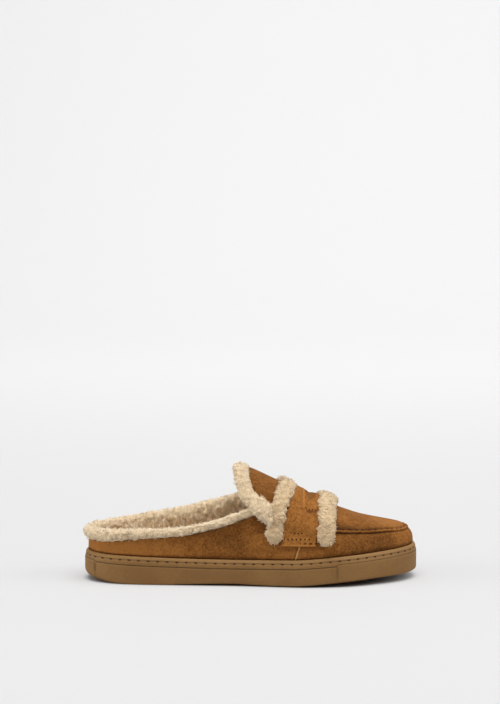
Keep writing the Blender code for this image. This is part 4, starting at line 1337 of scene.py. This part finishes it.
# What the paper gives the camera, and the little that it throws back up at the shoe. For the camera
# alone the paper also gives off a painted glow, which fades to a painted contact shadow where the
# sole all but touches it.
PAPER_WHITE, PAPER_BOUNCE = 0.40, 0.55
PAPER_GLOW, CONTACT_REACH = 0.37, 10 * MM
PAPER_HALF_WIDTH, PAPER_LENGTH, PAPER_FRONT, FLAT_LENGTH, PAPER_BEND = 4, 8, -3, 5, 1.5


def studio():
    """Floor and backdrop in one sheet, bent up behind the shoe."""
    bm = bmesh.new()
    bmesh.ops.create_grid(bm, x_segments=1, y_segments=48, size=1)
    for vert in bm.verts:
        reach = (vert.co.y + 1) / 2 * PAPER_LENGTH
        turn = min(max((reach - FLAT_LENGTH) / PAPER_BEND, 0), math.pi / 2)
        rest = max(reach - FLAT_LENGTH - PAPER_BEND * math.pi / 2, 0)
        vert.co.x *= PAPER_HALF_WIDTH
        vert.co.y = PAPER_FRONT + min(reach, FLAT_LENGTH) + PAPER_BEND * math.sin(turn)
        vert.co.z = PAPER_BEND * (1 - math.cos(turn)) + rest
    mesh = bpy.data.meshes.new("studio floor")
    bm.to_mesh(mesh)
    bm.free()
    mesh.shade_smooth()
    look = {"Roughness": 0.9, "Specular_IOR_Level": 0.1, "Emission_Color": (1, 1, 1, 1)}
    material, tree, shader = new_material("studio paper", **look)
    seen = add_node(tree, "LightPath")["Is Camera Ray"]
    paper = blend(tree, seen, (*[PAPER_BOUNCE] * 3, 1), (*[PAPER_WHITE] * 3, 1))
    tree.links.new(paper, shader.inputs["Base Color"])
    # Painted contact shadow: the glow fades where the sole is close above the paper
    contact = add_node(tree, "AmbientOcclusion", [("Distance", CONTACT_REACH)], samples=16)["AO"]
    glow = times(tree, times(tree, spread(tree, contact, 0.2, 0.8), seen), PAPER_GLOW)
    tree.links.new(glow, shader.inputs["Emission Strength"])
    mesh.materials.append(material)
    in_scene("studio floor", mesh)


studio()

# Each light's name, place, target, size and power
SOFTBOXES = [
    ("overhead softbox", (0.1, -0.32, 1.7), (0.05, 0, 0), (1.6, 1.6), 24.6),
    ("left softbox", (-1.8, -0.35, 0.7), (0, 0, 0.05), (1.0, 1.0), 13),
    ("right softbox", (1.7, -0.3, 1.1), (0, 0, 0.05), (1.0, 1.0), 11),
    ("backdrop light", (0.6, 1.3, 1.9), (0.6, 3.35, 0.5), (4.0, 0.8), 67),
]
for name, place, target, size, power in SOFTBOXES:
    light = bpy.data.lights.new(name, "AREA")
    light.shape = "RECTANGLE"
    light.size, light.size_y = size
    light.energy = power
    lamp = in_scene(name, light)
    lamp.location = place
    lamp.rotation_euler = (Vector(target) - Vector(place)).to_track_quat("-Z", "Y").to_euler()

world = bpy.data.worlds.new("studio light")
world.use_nodes = True
background = world.node_tree.nodes["Background"]
background.inputs["Color"].default_value = (1, 1, 1, 1)
background.inputs["Strength"].default_value = 0.28
bpy.context.scene.world = world
bpy.context.scene.view_settings.view_transform = "Standard"
